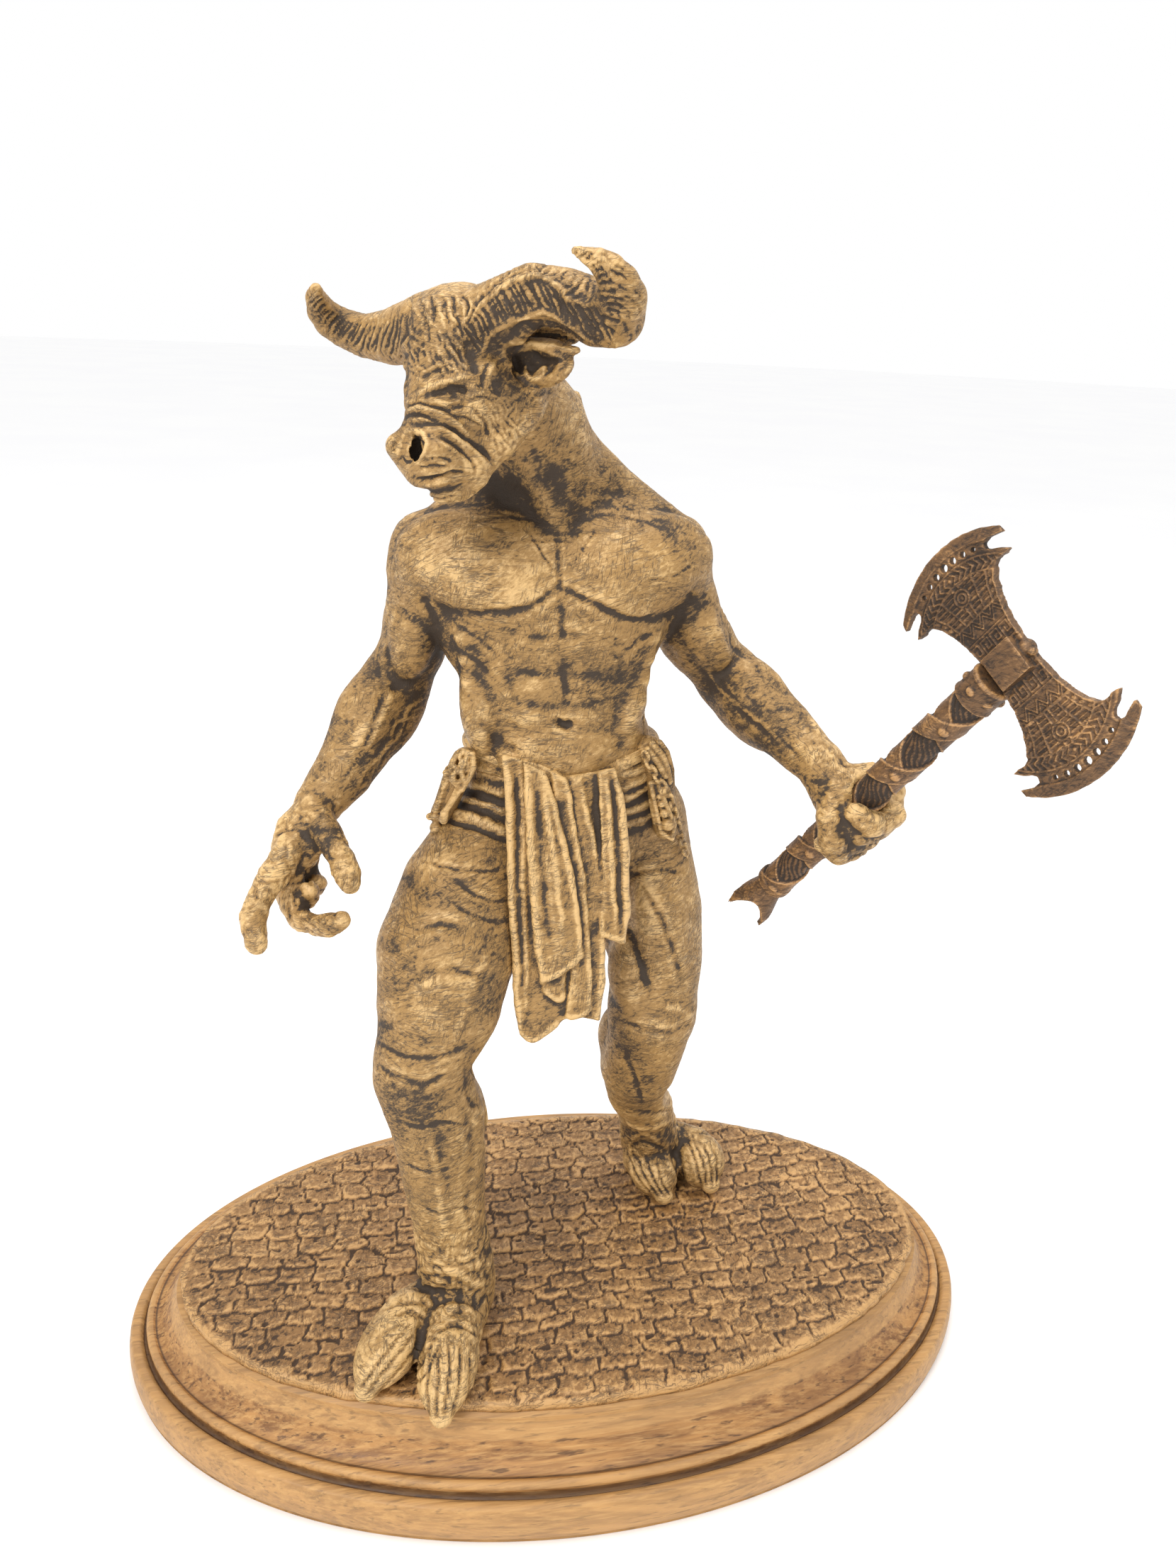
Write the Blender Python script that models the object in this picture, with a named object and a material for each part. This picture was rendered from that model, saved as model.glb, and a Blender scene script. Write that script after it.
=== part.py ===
"""Minotaur figurine: a cast figure with an axe on a cobbled slab and an oval wooden plinth.

Lengths are in millimetres until a mesh is made, which turns them into metres.
+X is the viewer's right, +Y points away from the viewer and +Z is up.
The origin is the middle of the plinth's underside.
"""

import math

import bmesh
import bpy
from mathutils import Matrix, Vector

METRES_PER_MM = 0.001

# Driving sizes of the base.
PLINTH_LENGTH = 300.0
PLINTH_WIDTH = 186.0
PLINTH_HEIGHT = 29.7
RIM_HEIGHT = 14.0
RIM_SETBACK = 2.0
GROOVE_SETBACK = 6.0
BEAD_RADIUS = 1.8
SLAB_LENGTH = 263.0
SLAB_WIDTH = 138.0
SLAB_THICKNESS = 4.0
SLAB_SHIFT = -3.4
SLAB_MARGIN = 1.0
COURSE_PITCH = 10.0
STONE_PITCH = 20.0
JOINT_DEPTH = 1.0
CLEARANCE = 0.3

# Driving sizes of the figure and of the axe.
FIGURE_HEIGHT = 324.0
FIGURE_SHIFT = 2.5
HAFT_DIAMETER = 8.6
HAFT_LENGTH = 116.0
GRIP_TO_SOCKET = 67.0
WRAP_THICKNESS = 0.5
COLLAR_LENGTH = 8.0
CROWN_LENGTH = 11.0
CROWN_FLARE_RATIO = 1.6
SPIKE_LENGTH = 7.5
SPIKE_ROOT_RADIUS = 2.4
SPIKE_TIP_RADIUS = 0.5
SOCKET_SIDE = 9.4
SOCKET_DEPTH = 7.4
BLADE_REACH = 33.8
BLADE_WAIST = 6.2
BLADE_HORN = 18.3
BLADE_THICKNESS = 2.6
BLADE_EDGE_THICKNESS = 0.7
BLADE_BEVEL = 2.2
KNOB_RADIUS = 2.2
CLOTH_THICKNESS = 3.5

# The figure's own numbers, in the functions below, are millimetres on a figure 324 mm tall.
FIGURE_SCALE = FIGURE_HEIGHT / 324.0

SLAB_BOTTOM = PLINTH_HEIGHT + CLEARANCE
SLAB_TOP = SLAB_BOTTOM + SLAB_THICKNESS
SOLE_LEVEL = SLAB_TOP + CLEARANCE

# Mesh fineness.
BODY_VOXEL = 1.5
SMOOTHING_STEPS = 4
BODY_TRIANGLES = 5950
OVAL_STEPS = 56
HAFT_SIDES = 12
SPIKE_COUNT = 3

# Head: its middle in the figure's numbers, turned to the figure's right, bowed and rolled.
HEAD = Vector((-37.4, -36.4, 296.0))
HEAD_YAW, HEAD_PITCH, HEAD_ROLL = math.radians(38.0), math.radians(15.0), math.radians(7.0)

# The axe: the middle of the fist, the haft's direction towards the blades and the blades' own axis.
GRIP = Vector((68.0, -50.0, 182.3))
HAFT_DIRECTION = Vector((0.302, -0.524, 0.797)).normalized()
BLADE_LEAN = Vector((-0.36, 0.703, 0.599))


def head_axes():
    """Unit vectors along the muzzle, to the head's own left and up through the crown."""
    flat = math.cos(HEAD_PITCH)
    forward = Vector((-math.sin(HEAD_YAW) * flat, -math.cos(HEAD_YAW) * flat, -math.sin(HEAD_PITCH)))
    level = Vector((math.cos(HEAD_YAW), -math.sin(HEAD_YAW), 0.0))
    crown = forward.cross(level)
    left = level * math.cos(HEAD_ROLL) + crown * math.sin(HEAD_ROLL)
    up = crown * math.cos(HEAD_ROLL) - level * math.sin(HEAD_ROLL)
    return forward, left, up


FORWARD, LEFT, UP = head_axes()


def on_head(forward, left, up):
    """A point of the head in the figure's numbers."""
    return HEAD + FORWARD * forward + LEFT * left + UP * up


def placed(point):
    """A point in the figure's numbers, moved to its real place and size."""
    return Vector(point) * FIGURE_SCALE + Vector((0.0, FIGURE_SHIFT, SOLE_LEVEL))


def frame_along(direction, face):
    """A rotation whose X runs along direction and whose Z looks towards face."""
    x = Vector(direction).normalized()
    z = Vector(face) - x * Vector(face).dot(x)
    z.normalize()
    return Matrix((x, z.cross(x), z)).transposed().to_4x4()


def add_ball(bm, centre, radius):
    placing = Matrix.Translation(placed(centre)) @ Matrix.Scale(radius * FIGURE_SCALE, 4)
    bmesh.ops.create_icosphere(bm, subdivisions=2, radius=1.0, matrix=placing)


def add_lump(bm, centre, radii, along=(0, 0, 1), face=(0, -1, 0)):
    """An ellipsoid: radii along its long direction, across it and towards its face."""
    size = Matrix.Diagonal((*[r * FIGURE_SCALE for r in radii], 1.0))
    placing = Matrix.Translation(placed(centre)) @ frame_along(along, face) @ size
    bmesh.ops.create_icosphere(bm, subdivisions=3, radius=1.0, matrix=placing)


def add_limb(bm, stations):
    """A run of balls with cones between them; each station is a centre and a radius."""
    for centre, radius in stations:
        add_ball(bm, centre, radius)
    for (start, r1), (end, r2) in zip(stations, stations[1:]):
        a, b = placed(start), placed(end)
        if (b - a).length < 1e-6:
            continue
        turn = (b - a).to_track_quat("Z", "X").to_matrix().to_4x4()
        placing = Matrix.Translation((a + b) / 2) @ turn
        bmesh.ops.create_cone(bm, cap_ends=True, segments=16, radius1=r1 * FIGURE_SCALE,
                              radius2=r2 * FIGURE_SCALE, depth=(b - a).length, matrix=placing)


def add_loft(bm, rings):
    """A closed skin over rings of points, with a flat cap at each end."""
    loops = [[bm.verts.new(point) for point in ring] for ring in rings]
    for lower, upper in zip(loops, loops[1:]):
        for i in range(len(lower)):
            j = (i + 1) % len(lower)
            bm.faces.new((lower[i], lower[j], upper[j], upper[i]))
    bm.faces.new(list(reversed(loops[0])))
    bm.faces.new(loops[-1])


def squircle(half_x, half_y, steps, power=2.3):
    """Points of a rounded oval in the XY plane."""
    points = []
    for i in range(steps):
        turn = 2 * math.pi * i / steps
        c, s = math.cos(turn), math.sin(turn)
        points.append(Vector((math.copysign(abs(c) ** (2 / power), c) * half_x,
                              math.copysign(abs(s) ** (2 / power), s) * half_y, 0.0)))
    return points


def add_torso(bm):
    """The trunk from the crotch to the root of the neck, as level oval sections."""
    sections = (
        # height, middle x, middle y, half width, half depth
        (146, -2, 2, 24, 17),
        (158, -3, 2, 34, 20),
        (170, -4, 0, 35, 21),
        (180, -5, -3, 31, 20),
        (190, -7, -6, 28.6, 18.5),
        (200, -9, -8, 26.8, 17.5),
        (207, -10, -9, 26.8, 17.5),
        (215, -10, -9, 28.8, 18.5),
        (223, -10, -9, 31.0, 20.5),
        (231, -10, -9, 34.0, 22),
        (239, -10, -8, 37.0, 22.5),
        (247, -10, -6, 36.5, 20.5),
        (254, -11, -4, 30, 17),
        (260, -12, -4, 21, 14),
    )
    rings = []
    for height, x, y, half_x, half_y in sections:
        ring = [placed(p + Vector((x, y, height))) for p in
                squircle(half_x, half_y, 32)]
        rings.append(ring)
    add_loft(bm, rings)


def add_chest(bm):
    """Breast muscles, ribs, belly blocks, flanks, shoulder blades and the cowl of the neck."""
    for side in (-1, 1):
        middle = -11.0
        add_lump(bm, (middle + 18 * side, -23, 244), (19.5, 11.0, 7.8), along=(1, 0.1 * side, 0.12 * side))
        add_lump(bm, (middle + 19 * side, -24.5, 240.5), (15, 7.5, 6.0), along=(1, 0.15 * side, 0.1 * side))
        for level, height in enumerate((222, 212, 202)):
            add_lump(bm, (middle + 7.0 * side, -24.0 + 0.5 * level, height), (6.6, 5.0, 4.0), along=(1, 0, 0))
        add_lump(bm, (middle + 21.5 * side, -14, 203), (13, 5.5, 10), along=(0.1 * side, 0, 1))
        add_lump(bm, (middle + 22 * side, 9, 238), (17, 13, 7), along=(0, 0, 1), face=(0, 1, 0))
        add_lump(bm, (middle + 9 * side, 10, 208), (17, 7, 5), along=(0, 0, 1), face=(0, 1, 0))
        add_lump(bm, (middle + 29 * side, -6, 226), (15, 6, 12), along=(0.3 * side, 0, 1))
        add_lump(bm, (-4 + 15 * side, 14, 160), (17, 15, 13), along=(0, 0, 1), face=(0, 1, 0))
    add_lump(bm, (-10, -22, 190), (17, 14, 7), along=(1, 0, 0))


def add_neck(bm):
    add_limb(bm, (((-12, -3, 256), 17.5), ((-14, -8, 270), 15.5), ((-18, -16, 280), 14),
                  ((-27, -26, 290), 13.5), ((-36, -31, 295), 13)))
    add_limb(bm, (((-6.5, -4, 269.5), 10.5), ((5.5, -3.5, 260.5), 9.5), ((19, -4, 251.5), 8.9)))
    add_limb(bm, (((-20, -2, 270), 10), ((-32, -3, 258), 9), ((-42, -4, 250), 8)))
    add_limb(bm, (((-18, -20, 274), 9), ((-14, -19, 258), 6), ((-12, -17, 251), 4.5)))
    add_ball(bm, (-7.5, -11, 288), 3.0)


def add_right_arm(bm):
    """The free arm, hanging out from the body with an open, clawing hand."""
    add_lump(bm, (-45.4, -6, 240), (17, 11.5, 13), along=(-0.25, 0, 1))
    add_limb(bm, (((-46.5, -5, 240), 10.4), ((-48, -2, 231), 10), ((-50, 5, 216), 10), ((-54.5, 10, 204), 10.4)))
    add_lump(bm, (-49, -3, 221), (12, 8, 8), along=(-0.1, 0.25, -1))
    add_lump(bm, (-62, 3, 198), (15, 9.5, 10.5), along=(-0.7, -0.75, -0.8))
    add_lump(bm, (-57, 6, 195), (15, 9.5, 9.5), along=(-0.6, -0.75, -0.7))
    add_limb(bm, (((-55, 10, 203), 10.9), ((-60, 6, 194.5), 11.8), ((-64.5, 0, 190), 10.8), ((-70.7, -8, 182), 9.2),
                  ((-78, -15, 174.5), 7.2)))
    add_lump(bm, (-82.5, -24, 169), (11, 8.2, 5.5), along=(-0.45, -0.45, -0.8), face=(-0.3, -0.9, 0.3))
    add_limb(bm, (((-79, -20, 174), 5.5), ((-74.5, -31, 171), 4.3), ((-70.5, -41, 166), 4.0),
                  ((-69.3, -43, 164), 3.5)))
    add_limb(bm, (((-85.5, -28, 167), 5), ((-90, -34, 162.5), 4.3), ((-95, -42, 155), 3.8), ((-93.6, -49, 148.5), 3.3)))
    add_limb(bm, (((-86, -26, 164), 5), ((-86, -31, 153), 3.8), ((-83, -35, 148), 3.2), ((-77, -42, 149.5), 3.2),
                  ((-71.5, -47, 154), 2.9)))
    add_limb(bm, (((-84, -20, 163), 5), ((-85.5, -22, 152), 3.8), ((-82, -27, 151), 3.4), ((-80.5, -31, 155), 3.0)))


def add_left_arm(bm):
    """The arm that holds the axe, reaching forward, with the fist closed round the haft."""
    add_lump(bm, (23.2, -6, 240), (17, 11.5, 13), along=(0.25, 0, 1))
    add_limb(bm, (((24, -6, 240), 10.8), ((31, -4, 225), 10.6), ((39.5, -1, 213), 10), ((45.5, 1, 206.5), 10)))
    add_lump(bm, (33, -9, 224), (12, 8, 8), along=(0.5, 0.1, -0.9))
    add_lump(bm, (49, -9, 205.5), (15, 9.5, 10), along=(0.35, -0.8, -0.3))
    add_lump(bm, (51, -9, 199.5), (17, 8.5, 9), along=(0.42, -0.85, -0.3))
    add_limb(bm, (((46, 0, 206), 10.2), ((50, -13, 202), 10.2), ((56, -27, 197.8), 8.8), ((61.5, -39, 193), 7.2)))
    along_haft = HAFT_DIRECTION
    outward = Vector((0.85, 0.35, -0.35))
    outward = (outward - along_haft * outward.dot(along_haft)).normalized()
    front = along_haft.cross(outward)
    if front.y > 0:
        front = -front

    def grip(along, out, towards):
        return GRIP + along_haft * along + outward * out + front * towards

    add_lump(bm, grip(1, 1.5, -6), (11, 9, 6), along=along_haft, face=front)
    wrist = Vector((62, -41, 192.5))
    add_limb(bm, ((wrist, 7), (grip(2, -4, -4), 7.5), (grip(2, 3, -5), 7.5)))
    for step in range(4):
        along = 8.2 - 5.4 * step
        size = 3.7 - 0.2 * step
        add_limb(bm, ((grip(along, 4, -7), size + 0.6), (grip(along, 9.6, -2.5), size + 0.4),
                      (grip(along - 0.6, 7.6, 5.0), size), (grip(along - 1.2, -0.5, 8.0), size - 0.2),
                      (grip(along - 1.2, -5.5, 5.0), size - 0.6)))
    add_limb(bm, ((grip(4, -6, -3), 5), (grip(1.5, -9, 2.5), 4.2), (grip(-2.5, -7.5, 8.0), 3.9),
                  (grip(-5.0, -5.0, 9.5), 3.4)))


def add_leg(bm, thigh, shin, lean):
    """A thigh and a shin, each a run of stations, with the muscles that break their outline.

    lean is -1 for the figure's right leg and 1 for its left one.
    """
    add_limb(bm, thigh)
    add_limb(bm, shin)
    hip, knee, ankle = Vector(thigh[0][0]), Vector(shin[0][0]), Vector(shin[-1][0])
    thigh_line, shin_line = knee - hip, ankle - knee
    outside = Vector((lean, 0, 0))
    front = Vector((0, -1, 0))
    add_lump(bm, hip + thigh_line * 0.5 + outside * 5 + front * 5, (27, 11, 12), along=thigh_line)
    add_lump(bm, hip + thigh_line * 0.74 - outside * 7 + front * 6, (16, 8, 9), along=thigh_line)
    add_lump(bm, hip + thigh_line * 0.45 - outside * 5 - front * 8, (26, 11, 12), along=thigh_line)
    add_lump(bm, knee + front * 8, (8.5, 7.5, 7), along=shin_line)
    add_lump(bm, knee + shin_line * 0.25 - outside * 7.5 - front * 7, (17, 10.2, 10), along=shin_line)
    add_lump(bm, knee + shin_line * 0.26 + outside * 3 - front * 4, (17, 8, 9), along=shin_line)


def add_hoof(bm, heel, toes):
    """A cloven foot: two long rounded toes side by side, each from its knuckle to its tip."""
    heel = Vector(heel)
    for knuckle, tip in toes:
        knuckle, tip = Vector(knuckle), Vector(tip)
        middle = (knuckle + tip) / 2
        middle.z += 2.5
        add_limb(bm, ((heel, 9.5), (knuckle, 9.5)))
        add_lump(bm, middle - (tip - knuckle) * 0.08, ((tip - knuckle).length * 0.66, 9.9, 8.8),
                 along=tip - knuckle, face=(0, 0, 1))
        add_limb(bm, ((knuckle, 8.8), (middle - Vector((0, 0, 2)), 8.4), (tip, 3.8)))


def add_legs(bm):
    add_leg(bm, (((-27, -8, 158), 17.5), ((-37, -19, 147), 19), ((-42.5, -29, 132.5), 21), ((-45, -36, 120), 18.8),
                 ((-49.5, -41, 107), 15)),
            (((-50.5, -41, 99), 14.4), ((-46.8, -40, 84), 13.8), ((-44.5, -38, 63), 13.2), ((-41.7, -37, 40), 12.2),
             ((-38.6, -36, 16), 12.5)), -1)
    add_hoof(bm, (-37, -36, 9), (((-42.5, -53, 9), (-47.4, -77.5, 3.5)), ((-54, -44.5, 9), (-69.3, -65.5, 3.5))))
    add_leg(bm, (((20, 2, 160), 16), ((23.5, 2, 146), 15.5), ((26.5, -2, 130), 16), ((27, -7, 112), 15.7),
                 ((26, -11, 96), 14.5)),
            (((26, -11, 96), 14), ((25.5, -8, 84), 12.5), ((24.8, -1, 68), 12.5), ((26, 6, 52), 9.8),
             ((33, 14, 38), 10.5), ((38, 24, 16), 11.5)), 1)
    add_hoof(bm, (44, 29, 9), (((36.5, 21, 9), (40.2, 6, 3.5)), ((55, 23, 9), (59.3, 9.5, 3.5))))


def add_head(bm):
    """A bull's head with a heavy brow, a short broad muzzle, folded ears and curling horns."""
    def lump(forward, left, up, radii, along=FORWARD, face=UP):
        add_lump(bm, on_head(forward, left, up), radii, along=along, face=face)

    def limb(*stations):
        add_limb(bm, [(on_head(*station[:3]), station[3]) for station in stations])

    lump(-2, 0, 3, (15, 14, 14))
    limb((5, 0, 7, 9.5), (13, 0, -2, 8.0), (19, 0, -10, 7.5))
    limb((17, 0, -13, 8.5), (20, 0, -15, 8.0), (15, 0, -19, 8.0))
    for side in (-1, 1):
        limb((-3, 8 * side, -10, 8.5), (6, 6 * side, -16, 8), (13, 3 * side, -20, 6.5))
        lump(6, 8 * side, -5, (11, 6, 9))
        limb((12.5, 0, 3.5, 3.6), (12.5, 6 * side, 1.5, 3.6), (8, 11 * side, 1, 3.2))
        limb((23, 2.5 * side, -9.5, 3.4), (25.5, 5.2 * side, -12, 3.0), (23, 5.5 * side, -15, 3.0))
        limb((22, 2.5 * side, -17, 5.0), (16, 7 * side, -19, 4.2))
    limb((-3, 12, 0, 4.5), (-5, 18, 0.5, 4.8), (-6, 23, 1.5, 3.8), (-6.5, 28, 2.5, 1.8))
    limb((-9, -12, 0, 4.0), (-14, -17, 0, 3.6), (-17, -20, 1, 1.8))
    limb((-10, 0, 0, 13), (-12, 4, -8, 11))
    limb((0, -10, 9, 8.6), (-2.5, -21.5, 7, 7.0), (-4, -30, 7, 6.2), (-3, -34.8, 10, 5.4),
         (1, -36.8, 14.5, 4.2), (5, -35.2, 19, 3.0), (7.5, -33, 21.3, 2.0))
    limb((0, 10.5, 10, 8.8), (-2, 20, 12.3, 8.8), (-4, 28, 10.8, 8.2), (-4, 36.5, 7.2, 7.3), (-2, 43, 7.5, 6.5),
         (1.5, 45.5, 12, 5.8), (4.5, 44.5, 17, 4.6), (7, 42, 20.2, 3.2), (9, 39.5, 22.3, 1.9))


def add_sheet(bm, top, bottom, thickness):
    """A flat hanging cloth between a top and a bottom edge, each from its left end to its right one."""
    rings = []
    for left, right in (top, bottom):
        back = Vector((0, thickness, 0))
        corners = (Vector(left), Vector(right), Vector(right) + back, Vector(left) + back)
        rings.append([placed(corner) for corner in corners])
    add_loft(bm, rings)


def add_loincloth(bm):
    """Belt bands round the hips, the hanging pleats in front and the flap behind."""
    for drop, radius in ((0, 2.4), (-6, 2.2), (-12, 2.4)):
        band = []
        for step in range(25):
            turn = 2 * math.pi * step / 24
            dip = 4.5 * max(0.0, -math.sin(turn)) ** 6
            band.append(((-5.5 + (28.5 + 0.35 * -drop) * math.cos(turn), -4 + 20.5 * math.sin(turn),
                          189 + drop - dip), radius))
        add_limb(bm, band)
    pleats = (
        # top x, bottom x, bottom y, bottom height, radius at the top and at the bottom
        (-27, -25, -40, 118, 2.8, 3.2),
        (-21.5, -20, -42, 109, 2.6, 3.2),
        (-16, -13.5, -44, 125, 3.0, 3.8),
        (-11, -7.5, -44, 121, 2.8, 3.6),
        (-6.5, -1.5, -42, 117, 2.6, 3.4),
        (-2, 4.5, -38, 111, 2.4, 3.0),
        (3.5, 10, -33, 136, 2.4, 2.8),
    )
    for top, bottom, depth, height, slim, wide in pleats:
        start = Vector((top, -25.5, 190))
        end = Vector((bottom, depth, height))
        middle = (start + end) / 2 + Vector((0, -2.5, 0))
        add_limb(bm, ((start, slim), (middle, (slim + wide) / 2), (end, wide)))
    add_sheet(bm, ((-27, -27, 190), (4, -27, 190)), ((-25, -41, 122), (7, -38, 122)), CLOTH_THICKNESS)
    add_sheet(bm, ((-20, 19, 160), (12, 19, 160)), ((-20, 19, 108), (8, 19, 106)), CLOTH_THICKNESS)
    add_lump(bm, (-37.5, -13, 180), (9, 6, 4), along=(0.2, 0, 1), face=(-0.6, -1, 0))
    add_limb(bm, (((-41, -14, 176), 2.4), ((-44.5, -13, 165), 2.2)))
    add_lump(bm, (24, -15, 178), (9, 6, 4), along=(-0.2, 0, 1), face=(0.6, -1, 0))
    add_limb(bm, (((25, -17, 174), 2.2), ((28, -17, 161), 2.6)))
    add_limb(bm, (((30, -13, 178), 1.8), ((34, -9, 162), 1.6), ((37, -5, 150), 1.8)))


def material(name, colour, roughness, metallic=0.0):
    made = bpy.data.materials.new(name)
    made.use_nodes = True
    shader = made.node_tree.nodes["Principled BSDF"]
    shader.inputs["Base Color"].default_value = (*colour, 1.0)
    shader.inputs["Roughness"].default_value = roughness
    shader.inputs["Metallic"].default_value = metallic
    return made


def made_object(name, bm, finish):
    """An object from a bmesh in millimetres."""
    bmesh.ops.recalc_face_normals(bm, faces=bm.faces)
    bm.transform(Matrix.Scale(METRES_PER_MM, 4))
    mesh = bpy.data.meshes.new(name)
    bm.to_mesh(mesh)
    bm.free()
    obj = bpy.data.objects.new(name, mesh)
    bpy.context.scene.collection.objects.link(obj)
    mesh.materials.append(finish)
    return obj


def settled(obj):
    """The object's mesh with its modifiers worked in."""
    bpy.context.view_layer.update()
    graph = bpy.context.evaluated_depsgraph_get()
    finish = obj.data.materials[0]
    mesh = bpy.data.meshes.new_from_object(obj.evaluated_get(graph))
    obj.modifiers.clear()
    obj.data = mesh
    mesh.materials.clear()
    mesh.materials.append(finish)


def haft_line(along):
    """A point on the haft's middle line, measured from the middle of the fist."""
    return placed(GRIP) + HAFT_DIRECTION * along


def cutter(name, bm, target):
    """Cuts a solid out of the target."""
    tool = made_object(name, bm, target.data.materials[0])
    tool.hide_render = True
    tool.display_type = "WIRE"
    cut = target.modifiers.new(name, "BOOLEAN")
    cut.operation = "DIFFERENCE"
    cut.object = tool


def build_figure(finish):
    bm = bmesh.new()
    for add in (add_torso, add_chest, add_neck, add_right_arm, add_left_arm, add_legs, add_head, add_loincloth):
        add(bm)
    figure = made_object("figure", bm, finish)
    skin = figure.modifiers.new("skin", "REMESH")
    skin.mode = "VOXEL"
    skin.voxel_size = BODY_VOXEL * METRES_PER_MM
    smooth = figure.modifiers.new("smooth", "SMOOTH")
    smooth.factor = 0.5
    smooth.iterations = SMOOTHING_STEPS
    settled(figure)
    thin = figure.modifiers.new("thin", "DECIMATE")
    thin.ratio = BODY_TRIANGLES / sum(len(face.vertices) - 2 for face in figure.data.polygons)
    settled(figure)

    bore = bmesh.new()
    radius = HAFT_DIAMETER / 2 + WRAP_THICKNESS + CLEARANCE
    turn = HAFT_DIRECTION.to_track_quat("Z", "X").to_matrix().to_4x4()
    bmesh.ops.create_cone(bore, cap_ends=True, segments=HAFT_SIDES * 2, radius1=radius, radius2=radius,
                          depth=HAFT_LENGTH, matrix=Matrix.Translation(haft_line(0)) @ turn)
    cutter("haft_bore", bore, figure)
    ground = bmesh.new()
    depth = SOLE_LEVEL / 2
    size = Matrix.Diagonal((PLINTH_LENGTH, PLINTH_WIDTH, depth, 1.0))
    bmesh.ops.create_cube(ground, size=1.0, matrix=Matrix.Translation((0, 0, SOLE_LEVEL - depth / 2)) @ size)
    cutter("ground_cut", ground, figure)
    return figure


def build_haft(finish):
    """A round haft with raised crossing wraps, a collar and a three-spiked crown at its foot."""
    bm = bmesh.new()
    radius = HAFT_DIAMETER / 2
    top = GRIP_TO_SOCKET - max(SOCKET_SIDE / 2, BLADE_WAIST) - CLEARANCE
    foot = top + SPIKE_LENGTH - HAFT_LENGTH
    collar = top - COLLAR_LENGTH
    wrapped = radius + WRAP_THICKNESS
    banded = radius + 2 * WRAP_THICKNESS
    profile = (
        (foot, radius * CROWN_FLARE_RATIO), (foot + CROWN_LENGTH * 0.27, radius * 1.25),
        (foot + CROWN_LENGTH * 0.45, radius * 0.95), (foot + CROWN_LENGTH * 0.72, radius * 1.1),
        (foot + CROWN_LENGTH, wrapped), (collar - WRAP_THICKNESS, wrapped), (collar, banded), (top, banded),
    )
    turn = HAFT_DIRECTION.to_track_quat("Z", "X").to_matrix()
    rings = []
    for along, size in profile:
        rings.append([haft_line(along) + turn @ (p * size) for p in squircle(1, 1, HAFT_SIDES, power=2.0)])
    add_loft(bm, rings)
    haft = made_object("axe_handle", bm, finish)

    for number in range(SPIKE_COUNT):
        spike = bmesh.new()
        angle = 2 * math.pi * number / SPIKE_COUNT
        lean = Vector((math.cos(angle), math.sin(angle), 0)) * radius
        base = haft_line(foot + 1.5) + turn @ (lean * 0.8)
        tip = haft_line(foot - SPIKE_LENGTH) + turn @ (lean * 1.35)
        track = (tip - base).to_track_quat("Z", "X").to_matrix().to_4x4()
        bmesh.ops.create_cone(spike, cap_ends=True, segments=6, radius1=SPIKE_ROOT_RADIUS, radius2=SPIKE_TIP_RADIUS,
                              depth=(tip - base).length, matrix=Matrix.Translation((base + tip) / 2) @ track)
        tool = made_object(f"spike_{number}", spike, finish)
        tool.hide_render = True
        tool.display_type = "WIRE"
        join = haft.modifiers.new(tool.name, "BOOLEAN")
        join.operation = "UNION"
        join.object = tool
    return haft


def blade_outline():
    """One blade in its own plane: the haft's direction first, then the reach out from the haft."""
    points = [(BLADE_WAIST, SOCKET_DEPTH / 2), (BLADE_WAIST, BLADE_REACH * 0.2),
              (BLADE_HORN * 0.44, BLADE_REACH * 0.42), (BLADE_HORN * 0.64, BLADE_REACH * 0.62),
              (BLADE_HORN * 0.92, BLADE_REACH * 0.62), (BLADE_HORN * 0.80, BLADE_REACH * 0.70)]
    inner = len(points)
    steps = 10
    rise = 0.24
    for step in range(steps + 1):
        share = 1 - 2 * step / steps
        points.append((BLADE_HORN * share, BLADE_REACH * (1 - rise * share * share)))
    points += [(-x, y) for x, y in reversed(points[:inner])]
    return points


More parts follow.
